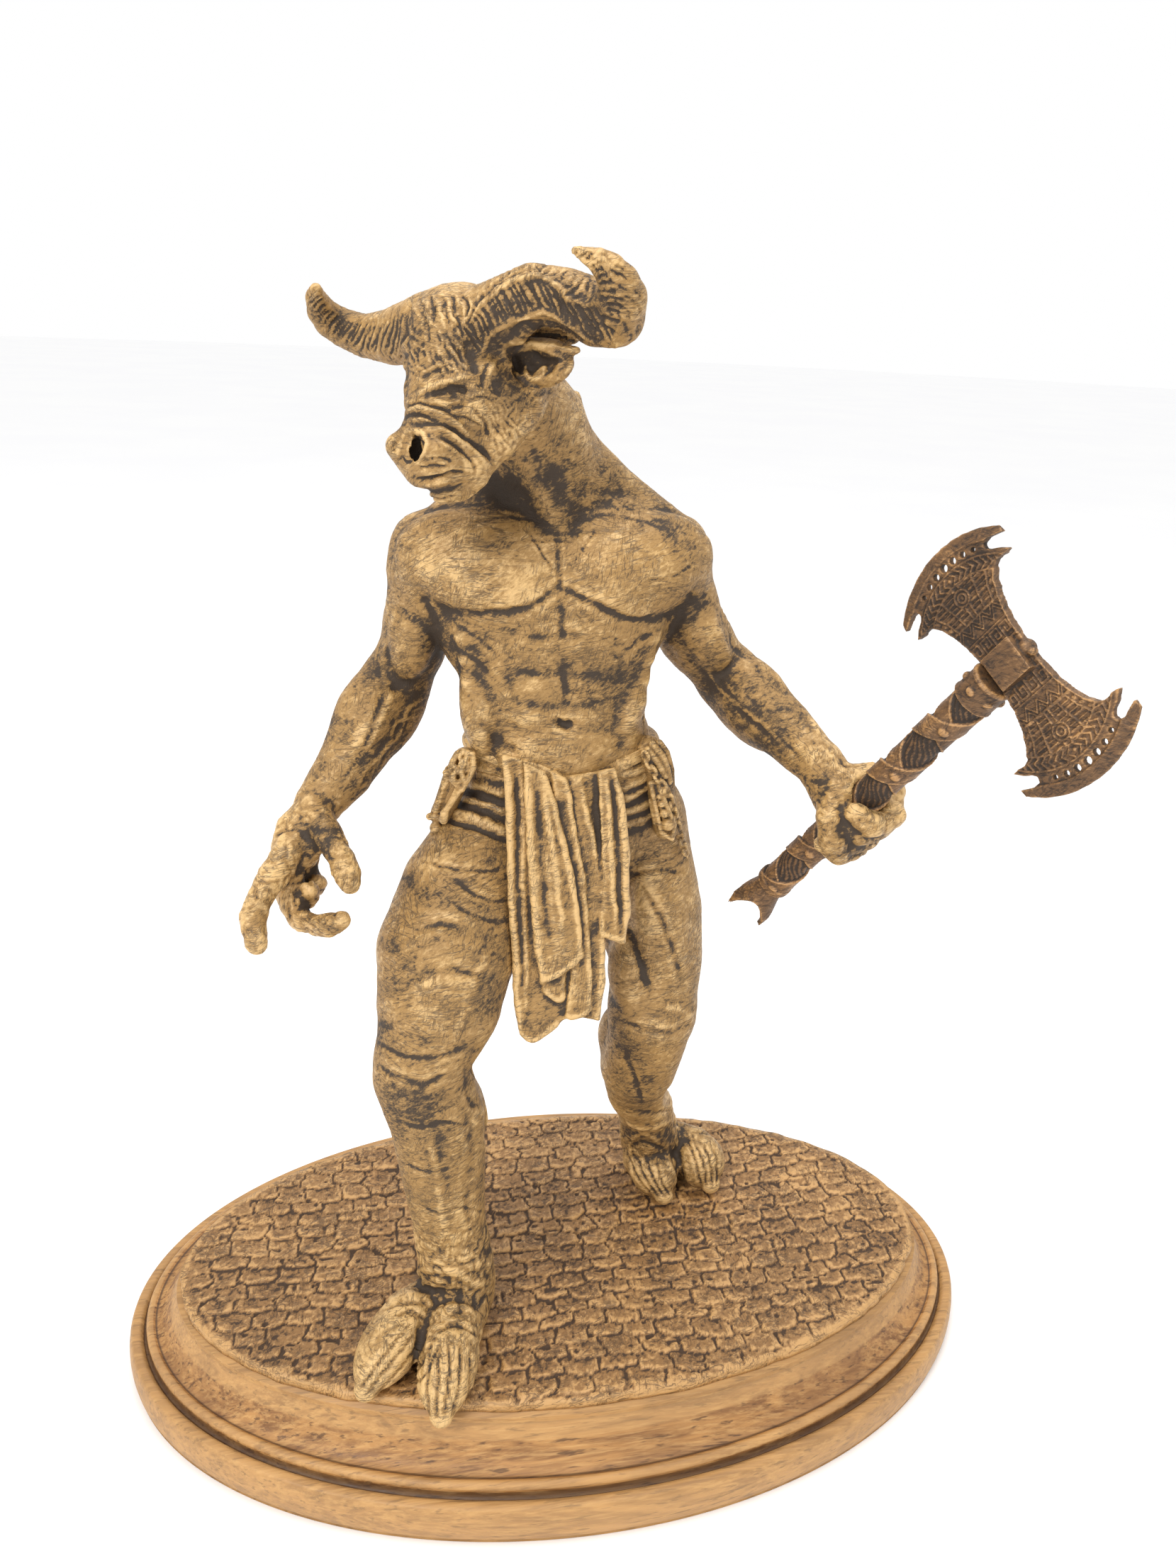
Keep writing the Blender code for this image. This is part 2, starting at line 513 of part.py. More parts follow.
def build_axe_head(finish):
    """Two broad crescent blades on a square socket block, one flat plate with the block through it."""
    across = BLADE_LEAN - HAFT_DIRECTION * BLADE_LEAN.dot(HAFT_DIRECTION)
    across.normalize()
    normal = HAFT_DIRECTION.cross(across)
    middle = haft_line(GRIP_TO_SOCKET)

    def spot(along, out, lift):
        return middle + HAFT_DIRECTION * along + across * out + normal * lift

    half = blade_outline()
    outline = half + [(-x, -y) for x, y in half]
    bm = bmesh.new()
    flat, edge = BLADE_THICKNESS / 2, BLADE_EDGE_THICKNESS / 2
    rings = []
    for lift, inset in ((-flat, BLADE_BEVEL), (-edge, 0.0), (edge, 0.0), (flat, BLADE_BEVEL)):
        ring = []
        for x, y in outline:
            reach = math.hypot(x, y)
            share = 1 - inset / reach if abs(y) > BLADE_REACH * 0.6 else 1.0
            ring.append(spot(x * share, y * share, lift))
        rings.append(ring)
    add_loft(bm, rings)
    head = made_object("axe_head", bm, finish)

    block = bmesh.new()
    size = Matrix.Diagonal((SOCKET_SIDE, SOCKET_SIDE, SOCKET_DEPTH, 1.0))
    turn = Matrix((HAFT_DIRECTION, across, normal)).transposed().to_4x4()
    bmesh.ops.create_cube(block, size=1.0, matrix=Matrix.Translation(middle) @ turn @ size)
    knob = Matrix.Translation(spot(SOCKET_SIDE / 2, 0, 0)) @ Matrix.Scale(KNOB_RADIUS, 4)
    tool = made_object("socket_block", block, finish)
    cap = bmesh.new()
    bmesh.ops.create_icosphere(cap, subdivisions=1, radius=1.0, matrix=knob)
    cap_tool = made_object("socket_knob", cap, finish)
    for piece in (tool, cap_tool):
        piece.hide_render = True
        piece.display_type = "WIRE"
        join = head.modifiers.new(piece.name, "BOOLEAN")
        join.operation = "UNION"
        join.object = piece
    return head


def oval(half_x, half_y, height, shift=0.0):
    return [Vector((half_x * math.cos(2 * math.pi * i / OVAL_STEPS),
                    shift + half_y * math.sin(2 * math.pi * i / OVAL_STEPS), height)) for i in range(OVAL_STEPS)]


def build_plinth(finish):
    """An oval plaque: a plain rim, a groove, a bead and a hollow rising to the flat top."""
    half_x, half_y = PLINTH_LENGTH / 2, PLINTH_WIDTH / 2
    top_x, top_y = SLAB_LENGTH / 2 + SLAB_MARGIN, SLAB_WIDTH / 2 + SLAB_MARGIN
    profile = [(RIM_SETBACK, 0.0), (0.0, RIM_HEIGHT * 0.35), (RIM_SETBACK * 0.4, RIM_HEIGHT - 2.5),
               (RIM_SETBACK * 1.6, RIM_HEIGHT), (GROOVE_SETBACK, RIM_HEIGHT - 0.8)]
    bead_middle = (GROOVE_SETBACK + BEAD_RADIUS, RIM_HEIGHT + BEAD_RADIUS * 0.9)
    for angle in (160, 90, 40):
        turn = math.radians(angle)
        profile.append((bead_middle[0] - BEAD_RADIUS * -math.cos(turn), bead_middle[1] + BEAD_RADIUS * math.sin(turn)))
    bm = bmesh.new()
    rings = [oval(half_x - setback, half_y - setback, height) for setback, height in profile]
    start_setback, start_height = profile[-1]
    steps = 3
    for step in range(1, steps + 1):
        share = step / steps
        rise = 1 - math.cos(share * math.pi / 2)
        height = start_height + (PLINTH_HEIGHT - start_height) * rise
        rings.append(oval(half_x - start_setback + (top_x - half_x + start_setback) * share,
                          half_y - start_setback + (top_y - half_y + start_setback) * share,
                          height, SLAB_SHIFT * share))
    add_loft(bm, rings)
    return made_object("plinth", bm, finish)


def build_slab(finish):
    """The paving: low courses of setts across an oval slab."""
    half_x, half_y = SLAB_LENGTH / 2, SLAB_WIDTH / 2
    columns = 2 * math.ceil(half_x / STONE_PITCH + 1)
    courses = 2 * math.ceil(half_y / COURSE_PITCH + 1)
    field = bmesh.new()
    grid = []
    for row in range(2 * courses + 1):
        y = SLAB_SHIFT + (row / 2 - courses / 2) * COURSE_PITCH
        stagger = 0.5 * ((row // 2) % 2)
        line = []
        for column in range(2 * columns + 1):
            x = (column / 2 + stagger - columns / 2) * STONE_PITCH
            in_joint = row % 2 == 0 or column % 2 == 0
            crown = 0.15 * math.sin(2.3 * column + 1.7 * row)
            line.append(field.verts.new((x, y, SLAB_TOP - (JOINT_DEPTH if in_joint else 0.15 + crown))))
        grid.append(line)
    for near, far in zip(grid, grid[1:]):
        for i in range(len(near) - 1):
            field.faces.new((near[i], near[i + 1], far[i + 1], far[i]))
    skirt = [edge for edge in field.edges if edge.is_boundary]
    drop = bmesh.ops.extrude_edge_only(field, edges=skirt)
    lowered = [item for item in drop["geom"] if isinstance(item, bmesh.types.BMVert)]
    for vert in lowered:
        vert.co.z = SLAB_BOTTOM - SLAB_THICKNESS
    bmesh.ops.contextual_create(field, geom=[item for item in drop["geom"] if isinstance(item, bmesh.types.BMEdge)])
    stones = made_object("setts", field, finish)
    stones.hide_render = True
    stones.display_type = "WIRE"

    bm = bmesh.new()
    add_loft(bm, [oval(half_x - 0.6, half_y - 0.6, SLAB_BOTTOM, SLAB_SHIFT),
                  oval(half_x, half_y, SLAB_TOP + SLAB_THICKNESS, SLAB_SHIFT)])
    slab = made_object("cobble_slab", bm, finish)
    trim = slab.modifiers.new("setts", "BOOLEAN")
    trim.operation = "INTERSECT"
    trim.object = stones
    return slab


def clear_scene():
    for obj in list(bpy.data.objects):
        bpy.data.objects.remove(obj)


def main():
    clear_scene()
    cast = material("aged_ochre_resin", (0.42, 0.29, 0.13), 0.55)
    bronze = material("brown_resin", (0.34, 0.22, 0.10), 0.5)
    paving = material("ochre_paving", (0.36, 0.23, 0.10), 0.65)
    wood = material("stained_wood", (0.33, 0.19, 0.08), 0.5)
    build_figure(cast)
    build_haft(bronze)
    build_axe_head(bronze)
    build_slab(paving)
    build_plinth(wood)


main()
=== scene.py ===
"""Looks of the minotaur figurine: sculpted figure, axe, paving and plinth on a pale floor.

Lengths are in millimetres until a mesh is made, which turns them into metres.
The figure's own numbers are millimetres above the soles; placed() moves them to the row frame.
"""

import math

import bpy
import numpy as np
import openvdb
from mathutils import Matrix, Vector


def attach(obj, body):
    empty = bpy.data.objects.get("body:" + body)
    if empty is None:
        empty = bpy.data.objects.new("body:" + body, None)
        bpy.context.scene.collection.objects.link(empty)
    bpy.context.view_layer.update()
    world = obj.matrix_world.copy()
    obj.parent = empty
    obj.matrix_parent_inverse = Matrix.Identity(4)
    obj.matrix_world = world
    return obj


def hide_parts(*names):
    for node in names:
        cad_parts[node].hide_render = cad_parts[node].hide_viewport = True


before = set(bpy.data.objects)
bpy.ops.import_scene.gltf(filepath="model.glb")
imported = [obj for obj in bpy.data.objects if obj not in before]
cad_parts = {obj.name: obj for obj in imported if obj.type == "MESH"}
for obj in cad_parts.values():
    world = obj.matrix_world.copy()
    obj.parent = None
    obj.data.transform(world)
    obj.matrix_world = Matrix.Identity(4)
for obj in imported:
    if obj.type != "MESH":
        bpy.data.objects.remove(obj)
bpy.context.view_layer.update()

METRES = 0.001
FIGURE_SHIFT = 2.5
SOLE_LEVEL = 34.3

# Camera of the photograph, in millimetres of the row frame, and its picture in pixels.
PICTURE_WIDTH, PICTURE_HEIGHT = 1659, 2212
CAMERA_SPOT = np.array((-61.8, -332.5, 344.0))
CAMERA_YAW, CAMERA_PITCH, CAMERA_ROLL = math.radians(10.98), math.radians(21.9), math.radians(2.62)
FOCAL_PIXELS = 1671.0
SENSOR = 36.0

# The head's middle and turn, in the figure's numbers.
HEAD = np.array((-37.4, -36.4, 296.0))
HEAD_YAW, HEAD_PITCH, HEAD_ROLL = math.radians(38.0), math.radians(15.0), math.radians(7.0)

# The axe: the middle of the fist, the haft's direction towards the blades and the blades' own axis.
GRIP = np.array((68.0, -50.0, 182.3))
HAFT_DIRECTION = np.array((0.302, -0.524, 0.797))
HAFT_DIRECTION = HAFT_DIRECTION / np.linalg.norm(HAFT_DIRECTION)
BLADE_LEAN = np.array((-0.36, 0.703, 0.599))
HAFT_RADIUS = 4.3
GRIP_TO_SOCKET = 67.0


def unit(vector):
    vector = np.asarray(vector, float)
    return vector / np.linalg.norm(vector)


def camera_axes():
    """Unit vectors to the camera's right, up and forward."""
    flat = math.cos(CAMERA_PITCH)
    forward = np.array((math.sin(CAMERA_YAW) * flat, math.cos(CAMERA_YAW) * flat, -math.sin(CAMERA_PITCH)))
    level = np.array((math.cos(CAMERA_YAW), -math.sin(CAMERA_YAW), 0.0))
    over = np.cross(level, forward)
    c, s = math.cos(CAMERA_ROLL), math.sin(CAMERA_ROLL)
    return c * level + s * over, c * over - s * level, forward


RIGHTWARD, UPWARD, ONWARD = camera_axes()


def photo_pixels(points):
    """Pixels of points in the figure's numbers, and how far off they are."""
    offset = points + np.array((0.0, FIGURE_SHIFT, SOLE_LEVEL)) - CAMERA_SPOT
    far = offset @ ONWARD
    across = PICTURE_WIDTH / 2 + FOCAL_PIXELS * (offset @ RIGHTWARD) / far
    down = PICTURE_HEIGHT / 2 - FOCAL_PIXELS * (offset @ UPWARD) / far
    return np.stack((across, down), axis=1), far


def on_plane(across, down, depth):
    """The point that a pixel of the photograph shows, at a given y of the figure's numbers."""
    ray = ONWARD + RIGHTWARD * ((across - PICTURE_WIDTH / 2) / FOCAL_PIXELS)
    ray = ray - UPWARD * ((down - PICTURE_HEIGHT / 2) / FOCAL_PIXELS)
    share = (depth + FIGURE_SHIFT - CAMERA_SPOT[1]) / ray[1]
    return CAMERA_SPOT + ray * share - np.array((0.0, FIGURE_SHIFT, SOLE_LEVEL))


def head_axes():
    """Unit vectors along the muzzle, to the head's own left and up through the crown."""
    flat = math.cos(HEAD_PITCH)
    forward = np.array((-math.sin(HEAD_YAW) * flat, -math.cos(HEAD_YAW) * flat, -math.sin(HEAD_PITCH)))
    level = np.array((math.cos(HEAD_YAW), -math.sin(HEAD_YAW), 0.0))
    crown = np.cross(forward, level)
    c, s = math.cos(HEAD_ROLL), math.sin(HEAD_ROLL)
    return forward, level * c + crown * s, crown * c - level * s


FORWARD, LEFT, UP = head_axes()


def on_head(forward, left, up):
    """A point of the head in the figure's numbers."""
    return HEAD + FORWARD * forward + LEFT * left + UP * up


# Clay: signed distances on a grid, and the shapes that are added to it or cut from it.

FAR = 6.0
BODY_GRID = 0.85
HEAD_GRID = 0.5
CLOTH_GRID = 0.62
ORNAMENT_GRID = 0.36
HAFT_GRID = 0.36
BLADE_GRID = 0.28


class Clay:
    """A block of space with a signed distance at each grid point, less than zero in the clay."""

    def __init__(self, low, high, step):
        self.low = np.array(low, float)
        self.step = step
        shape = np.ceil((np.array(high, float) - self.low) / step).astype(int) + 1
        self.values = np.full(shape, FAR, np.float32)

    def window(self, low, high):
        """The grid between two corners: its slices and its coordinates."""
        last_cell = np.array(self.values.shape) - 1
        first = np.clip(np.floor((low - self.low) / self.step).astype(int), 0, last_cell)
        last = np.clip(np.ceil((high - self.low) / self.step).astype(int) + 1, 1, self.values.shape)
        slices = tuple(slice(a, b) for a, b in zip(first, last))
        axes = [self.low[i] + self.step * np.arange(first[i], last[i]) for i in range(3)]
        x, y, z = (axis.astype(np.float32) for axis in axes)
        return slices, x[:, None, None], y[None, :, None], z[None, None, :]

    def merge(self, slices, distance, blend, cut=False):
        """Joins a shape smoothly, or takes it away where cut is set."""
        here = self.values[slices]
        if cut:
            here = -here
        share = np.clip(0.5 + 0.5 * (distance - here) / blend, 0, 1)
        mixed = distance * (1 - share) + here * share - blend * share * (1 - share)
        self.values[slices] = -mixed if cut else mixed

    def lump(self, centre, radii, along=(0, 0, 1), face=(0, -1, 0), blend=2.5, cut=False):
        """An ellipsoid: radii along its long direction, across it and towards its face."""
        centre, radii = np.asarray(centre, float), np.asarray(radii, float)
        x_axis = unit(along)
        z_axis = unit(np.asarray(face, float) - x_axis * np.dot(face, x_axis))
        axes = (x_axis, np.cross(z_axis, x_axis), z_axis)
        reach = np.sqrt(sum((axis * radius) ** 2 for axis, radius in zip(axes, radii))) + blend + 1
        slices, x, y, z = self.window(centre - reach, centre + reach)
        near, slope = 0.0, 0.0
        for axis, radius in zip(axes, radii):
            part = (x - centre[0]) * axis[0] + (y - centre[1]) * axis[1] + (z - centre[2]) * axis[2]
            near = near + (part / radius) ** 2
            slope = slope + (part / radius ** 2) ** 2
        near = np.sqrt(near)
        distance = near * (near - 1) / np.maximum(np.sqrt(slope), 1e-6)
        self.merge(slices, distance, blend, cut)

    def limb(self, stations, blend=2.5, cut=False, ripple=None):
        """Balls joined by cones; each station is a centre and a radius. A ripple is a pitch and a depth."""
        centres = np.array([centre for centre, _ in stations], float)
        radii = np.array([radius for _, radius in stations], float)
        reach = radii.max() + blend + 1
        slices, x, y, z = self.window(centres.min(0) - reach, centres.max(0) + reach)
        nearest, travelled = None, 0.0
        for start, end, r1, r2 in zip(centres, centres[1:], radii, radii[1:]):
            step = end - start
            length = np.linalg.norm(step)
            if length < 1e-6:
                continue
            dx, dy, dz = x - start[0], y - start[1], z - start[2]
            share = np.clip((dx * step[0] + dy * step[1] + dz * step[2]) / length ** 2, 0, 1)
            gap_x, gap_y, gap_z = (gap - share * part for gap, part in zip((dx, dy, dz), step))
            off = np.sqrt(gap_x ** 2 + gap_y ** 2 + gap_z ** 2)
            distance = off - (r1 + share * (r2 - r1))
            if ripple:
                pitch, depth = ripple
                along = (travelled + share * length) / pitch
                distance = distance + depth * (2 * np.abs(along - np.round(along)) - 0.5)
            nearest = distance if nearest is None else np.minimum(nearest, distance)
            travelled += length
        self.merge(slices, nearest, blend, cut)

    def sections(self, rows, power, blend=2.5):
        """A trunk of level oval sections: height, middle x, middle y, half width and half depth."""
        rows = np.array(rows, float)
        low = np.array((-70, -60, rows[0, 0] - 3))
        high = np.array((60, 60, rows[-1, 0] + 3))
        slices, x, y, z = self.window(low, high)
        height = z.ravel()
        mid_x, mid_y, half_x, half_y = (np.interp(height, rows[:, 0], rows[:, i]) for i in range(1, 5))
        level = (np.abs((x - mid_x) / half_x) ** power + np.abs((y - mid_y) / half_y) ** power) ** (1 / power)
        distance = (level - 1) * np.minimum(half_x, half_y)
        distance = np.maximum(distance, np.maximum(rows[0, 0] - z, z - rows[-1, 0]))
        self.merge(slices, distance.astype(np.float32), blend)

    def mesh(self):
        """Points in millimetres and outward quads of the clay's skin."""
        grid = openvdb.FloatGrid(FAR)
        grid.copyFromArray(np.clip(self.values, -FAR, FAR))
        grid.gridClass = openvdb.GridClass.LEVEL_SET
        grid.transform = openvdb.createLinearTransform(voxelSize=self.step)
        points, quads = grid.convertToQuads(isovalue=0)
        return largest_piece(points.astype(float) + self.low, quads[:, ::-1].astype(np.int64))


def largest_piece(points, quads):
    """Keeps the largest connected skin and drops crumbs."""
    label = np.arange(len(points))
    for _ in range(10000):
        lowest = label[quads].min(axis=1)
        fresh = label.copy()
        np.minimum.at(fresh, quads.ravel(), np.repeat(lowest, 4))
        fresh = fresh[fresh]
        if np.array_equal(fresh, label):
            break
        label = fresh
    names, counts = np.unique(label[quads[:, 0]], return_counts=True)
    kept = quads[label[quads[:, 0]] == names[counts.argmax()]]
    used = np.unique(kept)
    place = np.zeros(len(points), np.int64)
    place[used] = np.arange(len(used))
    return points[used], place[kept]


# Working on a mesh's points.

def neighbour_mean(values, quads):
    """The mean of each point's neighbours."""
    starts = quads.ravel()
    ends = np.roll(quads, -1, axis=1).ravel()
    count = np.bincount(starts, minlength=len(values)) + np.bincount(ends, minlength=len(values))
    total = np.empty_like(values)
    for column in range(values.shape[1]):
        total[:, column] = (np.bincount(starts, values[ends, column], len(values))
                            + np.bincount(ends, values[starts, column], len(values)))
    return total / np.maximum(count, 1)[:, None]


def smoothed(points, quads, rounds, strength=0.5):
    for _ in range(rounds):
        points = points + (neighbour_mean(points, quads) - points) * strength
    return points


def point_normals(points, quads):
    a, b, c, d = (points[quads[:, i]] for i in range(4))
    face = np.cross(c - a, d - b)
    normals = np.zeros_like(points)
    for corner in range(4):
        for column in range(3):
            normals[:, column] += np.bincount(quads[:, corner], face[:, column], len(points))
    return normals / np.maximum(np.linalg.norm(normals, axis=1), 1e-9)[:, None]


def relief_of(points, quads, rounds):
    """How far each point stands out from its smoothed surroundings, in millimetres."""
    return ((points - smoothed(points, quads, rounds)) * point_normals(points, quads)).sum(axis=1)


def lattice_value(cells, seed):
    """A repeatable number from 0 to 1 for each whole-number cell."""
    x, y, z = (cells[:, i].astype(np.int64) for i in range(3))
    mixed = (x * 73856093) ^ (y * 19349663) ^ (z * 83492791) ^ (seed * 2654435761)
    mixed = (mixed ^ (mixed >> 13)) * 1274126177
    return ((mixed ^ (mixed >> 16)) & 65535) / 65535.0


def noise(points, size, seed):
    """Smooth noise from -1 to 1 whose lumps are about size across."""
    scaled = points / size
    base = np.floor(scaled)
    part = scaled - base
    part = part * part * (3 - 2 * part)
    total = np.zeros(len(points))
    for corner in range(8):
        offset = np.array(((corner >> 2) & 1, (corner >> 1) & 1, corner & 1))
        weight = np.prod(np.where(offset, part, 1 - part), axis=1)
        total += weight * lattice_value(base + offset, seed)
    return total * 2 - 1


def cracks(points, size, seed):
    """Thin winding lines: 1 on a line and 0 away from it."""
    bends = [noise(points, size * 0.7, seed + 10 + axis) for axis in range(3)]
    bent = points + np.stack(bends, axis=1) * size * 0.35
    return np.clip(1 - np.abs(noise(bent, size, seed)) * 14, 0, 1)


def seen_from(pixels, far, cell=5.0, slack=5.0):
    """Which points the camera sees, from the nearest point in each small square of the picture."""
    column = np.clip((pixels[:, 0] / cell).astype(int), 0, int(PICTURE_WIDTH / cell))
    row = np.clip((pixels[:, 1] / cell).astype(int), 0, int(PICTURE_HEIGHT / cell))
    key = row * (int(PICTURE_WIDTH / cell) + 1) + column
    nearest = np.full(key.max() + 1, np.inf)
    np.minimum.at(nearest, key, far)
    return far < nearest[key] + slack


def line_distance(spots, line):
    """Distance from each spot to a bent line, and how far along it the nearest point is, from 0 to 1."""
    line = np.array(line, float)
    lengths = np.linalg.norm(np.diff(line, axis=0), axis=1)
    starts = np.concatenate(([0], np.cumsum(lengths)))
    best = np.full(len(spots), np.inf)
    along = np.zeros(len(spots))
    for start, end, length, gone in zip(line, line[1:], lengths, starts):
        step = end - start
        share = np.clip((spots - start) @ step / max(length, 1e-9) ** 2, 0, 1)
        off = np.linalg.norm(spots - start - share[:, None] * step, axis=1)
        closer = off < best
        best = np.where(closer, off, best)
        along = np.where(closer, (gone + share * length) / max(starts[-1], 1e-9), along)
    return best, along


def smooth_line(line, pieces=4):
    """The same line with rounded bends."""
    line = np.array(line, float)
    if len(line) < 3:
        return line
    padded = np.vstack((2 * line[0] - line[1], line, 2 * line[-1] - line[-2]))
    spots = []
    for i in range(1, len(padded) - 2):
        a, b, c, d = padded[i - 1:i + 3]
        for step in range(pieces):
            t = step / pieces
            spots.append(0.5 * (2 * b + (c - a) * t + (2 * a - 5 * b + 4 * c - d) * t ** 2
                                + (3 * b - a - 3 * c + d) * t ** 3))
    spots.append(line[-1])
    return np.array(spots)


def guide_spot(line, share):
    """The spot a share of the way along a bent line."""
    line = np.array(line, float)
    gone = np.concatenate(([0], np.cumsum(np.linalg.norm(np.diff(line, axis=0), axis=1))))
    return np.array([np.interp(share * gone[-1], gone, line[:, axis]) for axis in (0, 1)])


def wobble(number, seed):
    """A repeatable number from -1 to 1."""
    return 2 * lattice_value(np.array(((number, seed, 0),)), 51)[0] - 1


def ribs(first, second, count, lift, width, reach=(0.0, 1.0), seed=0):
    """Strokes side by side from one guide line across to another."""
    strokes = []
    for number in range(count):
        share = (number + 0.5 + 0.25 * wobble(number, seed)) / count
        start, end = guide_spot(first, share), guide_spot(second, share)
        low = reach[0] + 0.08 * wobble(number, seed + 1)
        high = reach[1] + 0.08 * wobble(number, seed + 2)
        middle = (low + high) / 2
        bend = np.array((end[1] - start[1], start[0] - end[0])) * 0.05 * wobble(number, seed + 3)
        strokes.append((lift, width, (start + (end - start) * low, start + (end - start) * middle + bend,
                                      start + (end - start) * high)))
    return tuple(strokes)


def hatching(first, second, rows, columns, lift, width, slant=0.0, length=0.8, seed=0):
    """Short wavy strokes that run along between two guide lines in staggered rows."""
    strokes = []
    for row in range(rows):
        for column in range(columns):
            number = row * columns + column
            across = (row + 0.5 + 0.3 * wobble(number, seed)) / rows
            start = (column + 0.5 * (row % 2) + 0.25 * wobble(number, seed + 1)) / columns
            end = min(start + length / columns, 1.0)
            line = []
            for step in range(4):
                share = start + (end - start) * step / 3
                place = across + slant * (step / 3 - 0.5) + 0.25 / rows * wobble(number * 4 + step, seed + 2)
                near, far = guide_spot(first, share), guide_spot(second, share)
                line.append(near + (far - near) * place)
            strokes.append((lift, width, tuple(line)))
    return tuple(strokes)


STROKE_WANDER = 0.35


def carve(points, quads, strokes, spots, scale, allowed, fade=0.15):
    """Moves points along their normals by strokes: each is a lift, a half width and a line of spots.

    scale turns a distance between spots into millimetres at each point.
    """
    normals = point_normals(points, quads)
    lift = np.zeros(len(points))
    wander = np.stack((noise(points, 2.8, 61), noise(points, 2.8, 62)), axis=1) * STROKE_WANDER
    spots = spots + wander / scale[:, None]
    uneven = 1 + 0.5 * noise(points, 3.4, 63)
    for height, width, line in strokes:
        line = smooth_line(line)
        margin = 2.2 * width / scale[allowed].min()
        low, high = line.min(0) - margin, line.max(0) + margin
        near = np.flatnonzero(allowed & ((spots > low) & (spots < high)).all(axis=1))
        if len(near) == 0:
            continue
        off, along = line_distance(spots[near], line)
        ends = np.clip(np.minimum(along, 1 - along) / fade, 0.25, 1)
        lift[near] += height * ends * np.exp(-(off * scale[near] / width) ** 2)
    return points + normals * (lift * uneven)[:, None]


def carve_in_photo(points, quads, strokes):
    """Strokes given in the photograph's pixels, on what its camera sees."""
    pixels, far = photo_pixels(points)
    allowed = seen_from(pixels, far)
    return carve(points, quads, strokes, pixels, far / FOCAL_PIXELS, allowed)


def wash_and_shade_in_photo(points, smears):
    """How dark the wash and the painted shade lie on each point: each smear is a strength, a half width and a
    line of pixels.
    """
    pixels, far = photo_pixels(points)
    seen = seen_from(pixels, far)
    scale = far / FOCAL_PIXELS
    wash_and_painted_shade = np.zeros(len(points))
    for strength, width, line in smears:
        line = smooth_line(line)
        margin = 2.2 * width / scale.min()
        low, high = line.min(0) - margin, line.max(0) + margin
        near = np.flatnonzero(seen & ((pixels > low) & (pixels < high)).all(axis=1))
        off, _ = line_distance(pixels[near], line)
        wash_and_painted_shade[near] = np.maximum(wash_and_painted_shade[near], strength * np.exp(-(off * scale[near] / width) ** 2))
    return wash_and_painted_shade


# The figure's body.

def model_trunk(clay):
    """The trunk, the breast and belly muscles, the back and the seat."""
    clay.sections((
        (146, -2, 2, 24, 17),
        (158, -3, 2, 33, 20),
        (170, -4, 0, 34, 20.5),
        (180, -5, -3, 30, 19.5),
        (190, -7, -6, 27.6, 18),
        (200, -9, -8, 26, 17),
        (207, -10, -9, 26, 17),
        (215, -10, -9, 27.5, 17.8),
        (223, -10, -9, 30, 19.5),
        (231, -10, -9, 33, 21),
        (239, -10, -8, 35.5, 21.5),
        (247, -10, -6, 35, 19.5),
        (254, -11, -4, 29, 16.5),
        (260, -12, -4, 20, 13.5),
    ), 2.3)
    middle = -11.0
    for side in (-1, 1):
        clay.lump((middle + 18 * side, -22.5, 244), (19.5, 11.5, 7.8), along=(1, 0.1 * side, 0.12 * side),
                  blend=4.5)
        clay.lump((middle + 18.5 * side, -24, 240.5), (16, 8, 6.2), along=(1, 0.15 * side, 0.1 * side),
                  blend=4)
        clay.lump((middle + 20 * side, -16.5, 252), (19, 7, 6.5), along=(1, 0.1 * side, 0.05 * side), blend=5)
        for level, height in enumerate((224, 214, 203.5)):
            clay.lump((middle + 7.2 * side, -23.2 + 0.6 * level, height), (6.6, 5.0, 4.0), along=(1, 0, 0),
                      blend=1.2)
        clay.lump((middle + 6.5 * side, -20.5, 190), (12, 6.5, 5.0), blend=2)
        clay.lump((middle + 21 * side, -13.5, 202), (13, 5.5, 10), along=(0.1 * side, 0, 1))
        for rib in range(4):
            clay.lump((middle + (22.8 - 1.0 * rib) * side, -15.0 + 0.4 * rib, 228 - 6.4 * rib),
                      (9.0, 3.0, 3.4), along=(0.7 * side, -0.9, -0.55), face=(side, -0.6, 0), blend=3.5)
        clay.lump((middle + 20 * side, 8.4, 238), (17, 12, 6.6), along=(-0.25 * side, 0, 1), face=(0, 1, 0),
                  blend=6)
        clay.lump((middle + 14 * side, 10, 246), (13, 6, 5), along=(0.5 * side, 0, -1), face=(0, 1, 0),
                  blend=5)
        clay.lump((middle + 9 * side, 8.8, 206), (24, 6.5, 5), face=(0, 1, 0), blend=5)
        clay.lump((middle + 28 * side, -5, 226), (16, 6, 12), along=(0.3 * side, 0, 1))
        clay.lump((-4 + 15 * side, 14, 160), (17, 15, 13), face=(0, 1, 0), blend=4)
        clay.limb((((middle + 5 * side, -14.5, 255), 2.2), ((middle + 19 * side, -13, 258), 2.4),
                   ((middle + 31 * side, -9, 257), 2.6)), blend=2)
    clay.lump((-10, -20.5, 190), (17, 13, 6.5), along=(1, 0, 0))
    clay.lump((middle, -22.5, 243), (12, 9, 5.5), along=(1, 0, 0), blend=4)
    clay.lump((middle, -20.5, 222), (14, 13, 5), along=(1, 0, 0), blend=4)
    clay.limb((((-9, 22, 168), 1.6), ((-10, 12, 200), 1.8), ((-11, 14, 225), 1.8), ((-12, 13, 250), 1.6)),
              blend=3.5, cut=True)


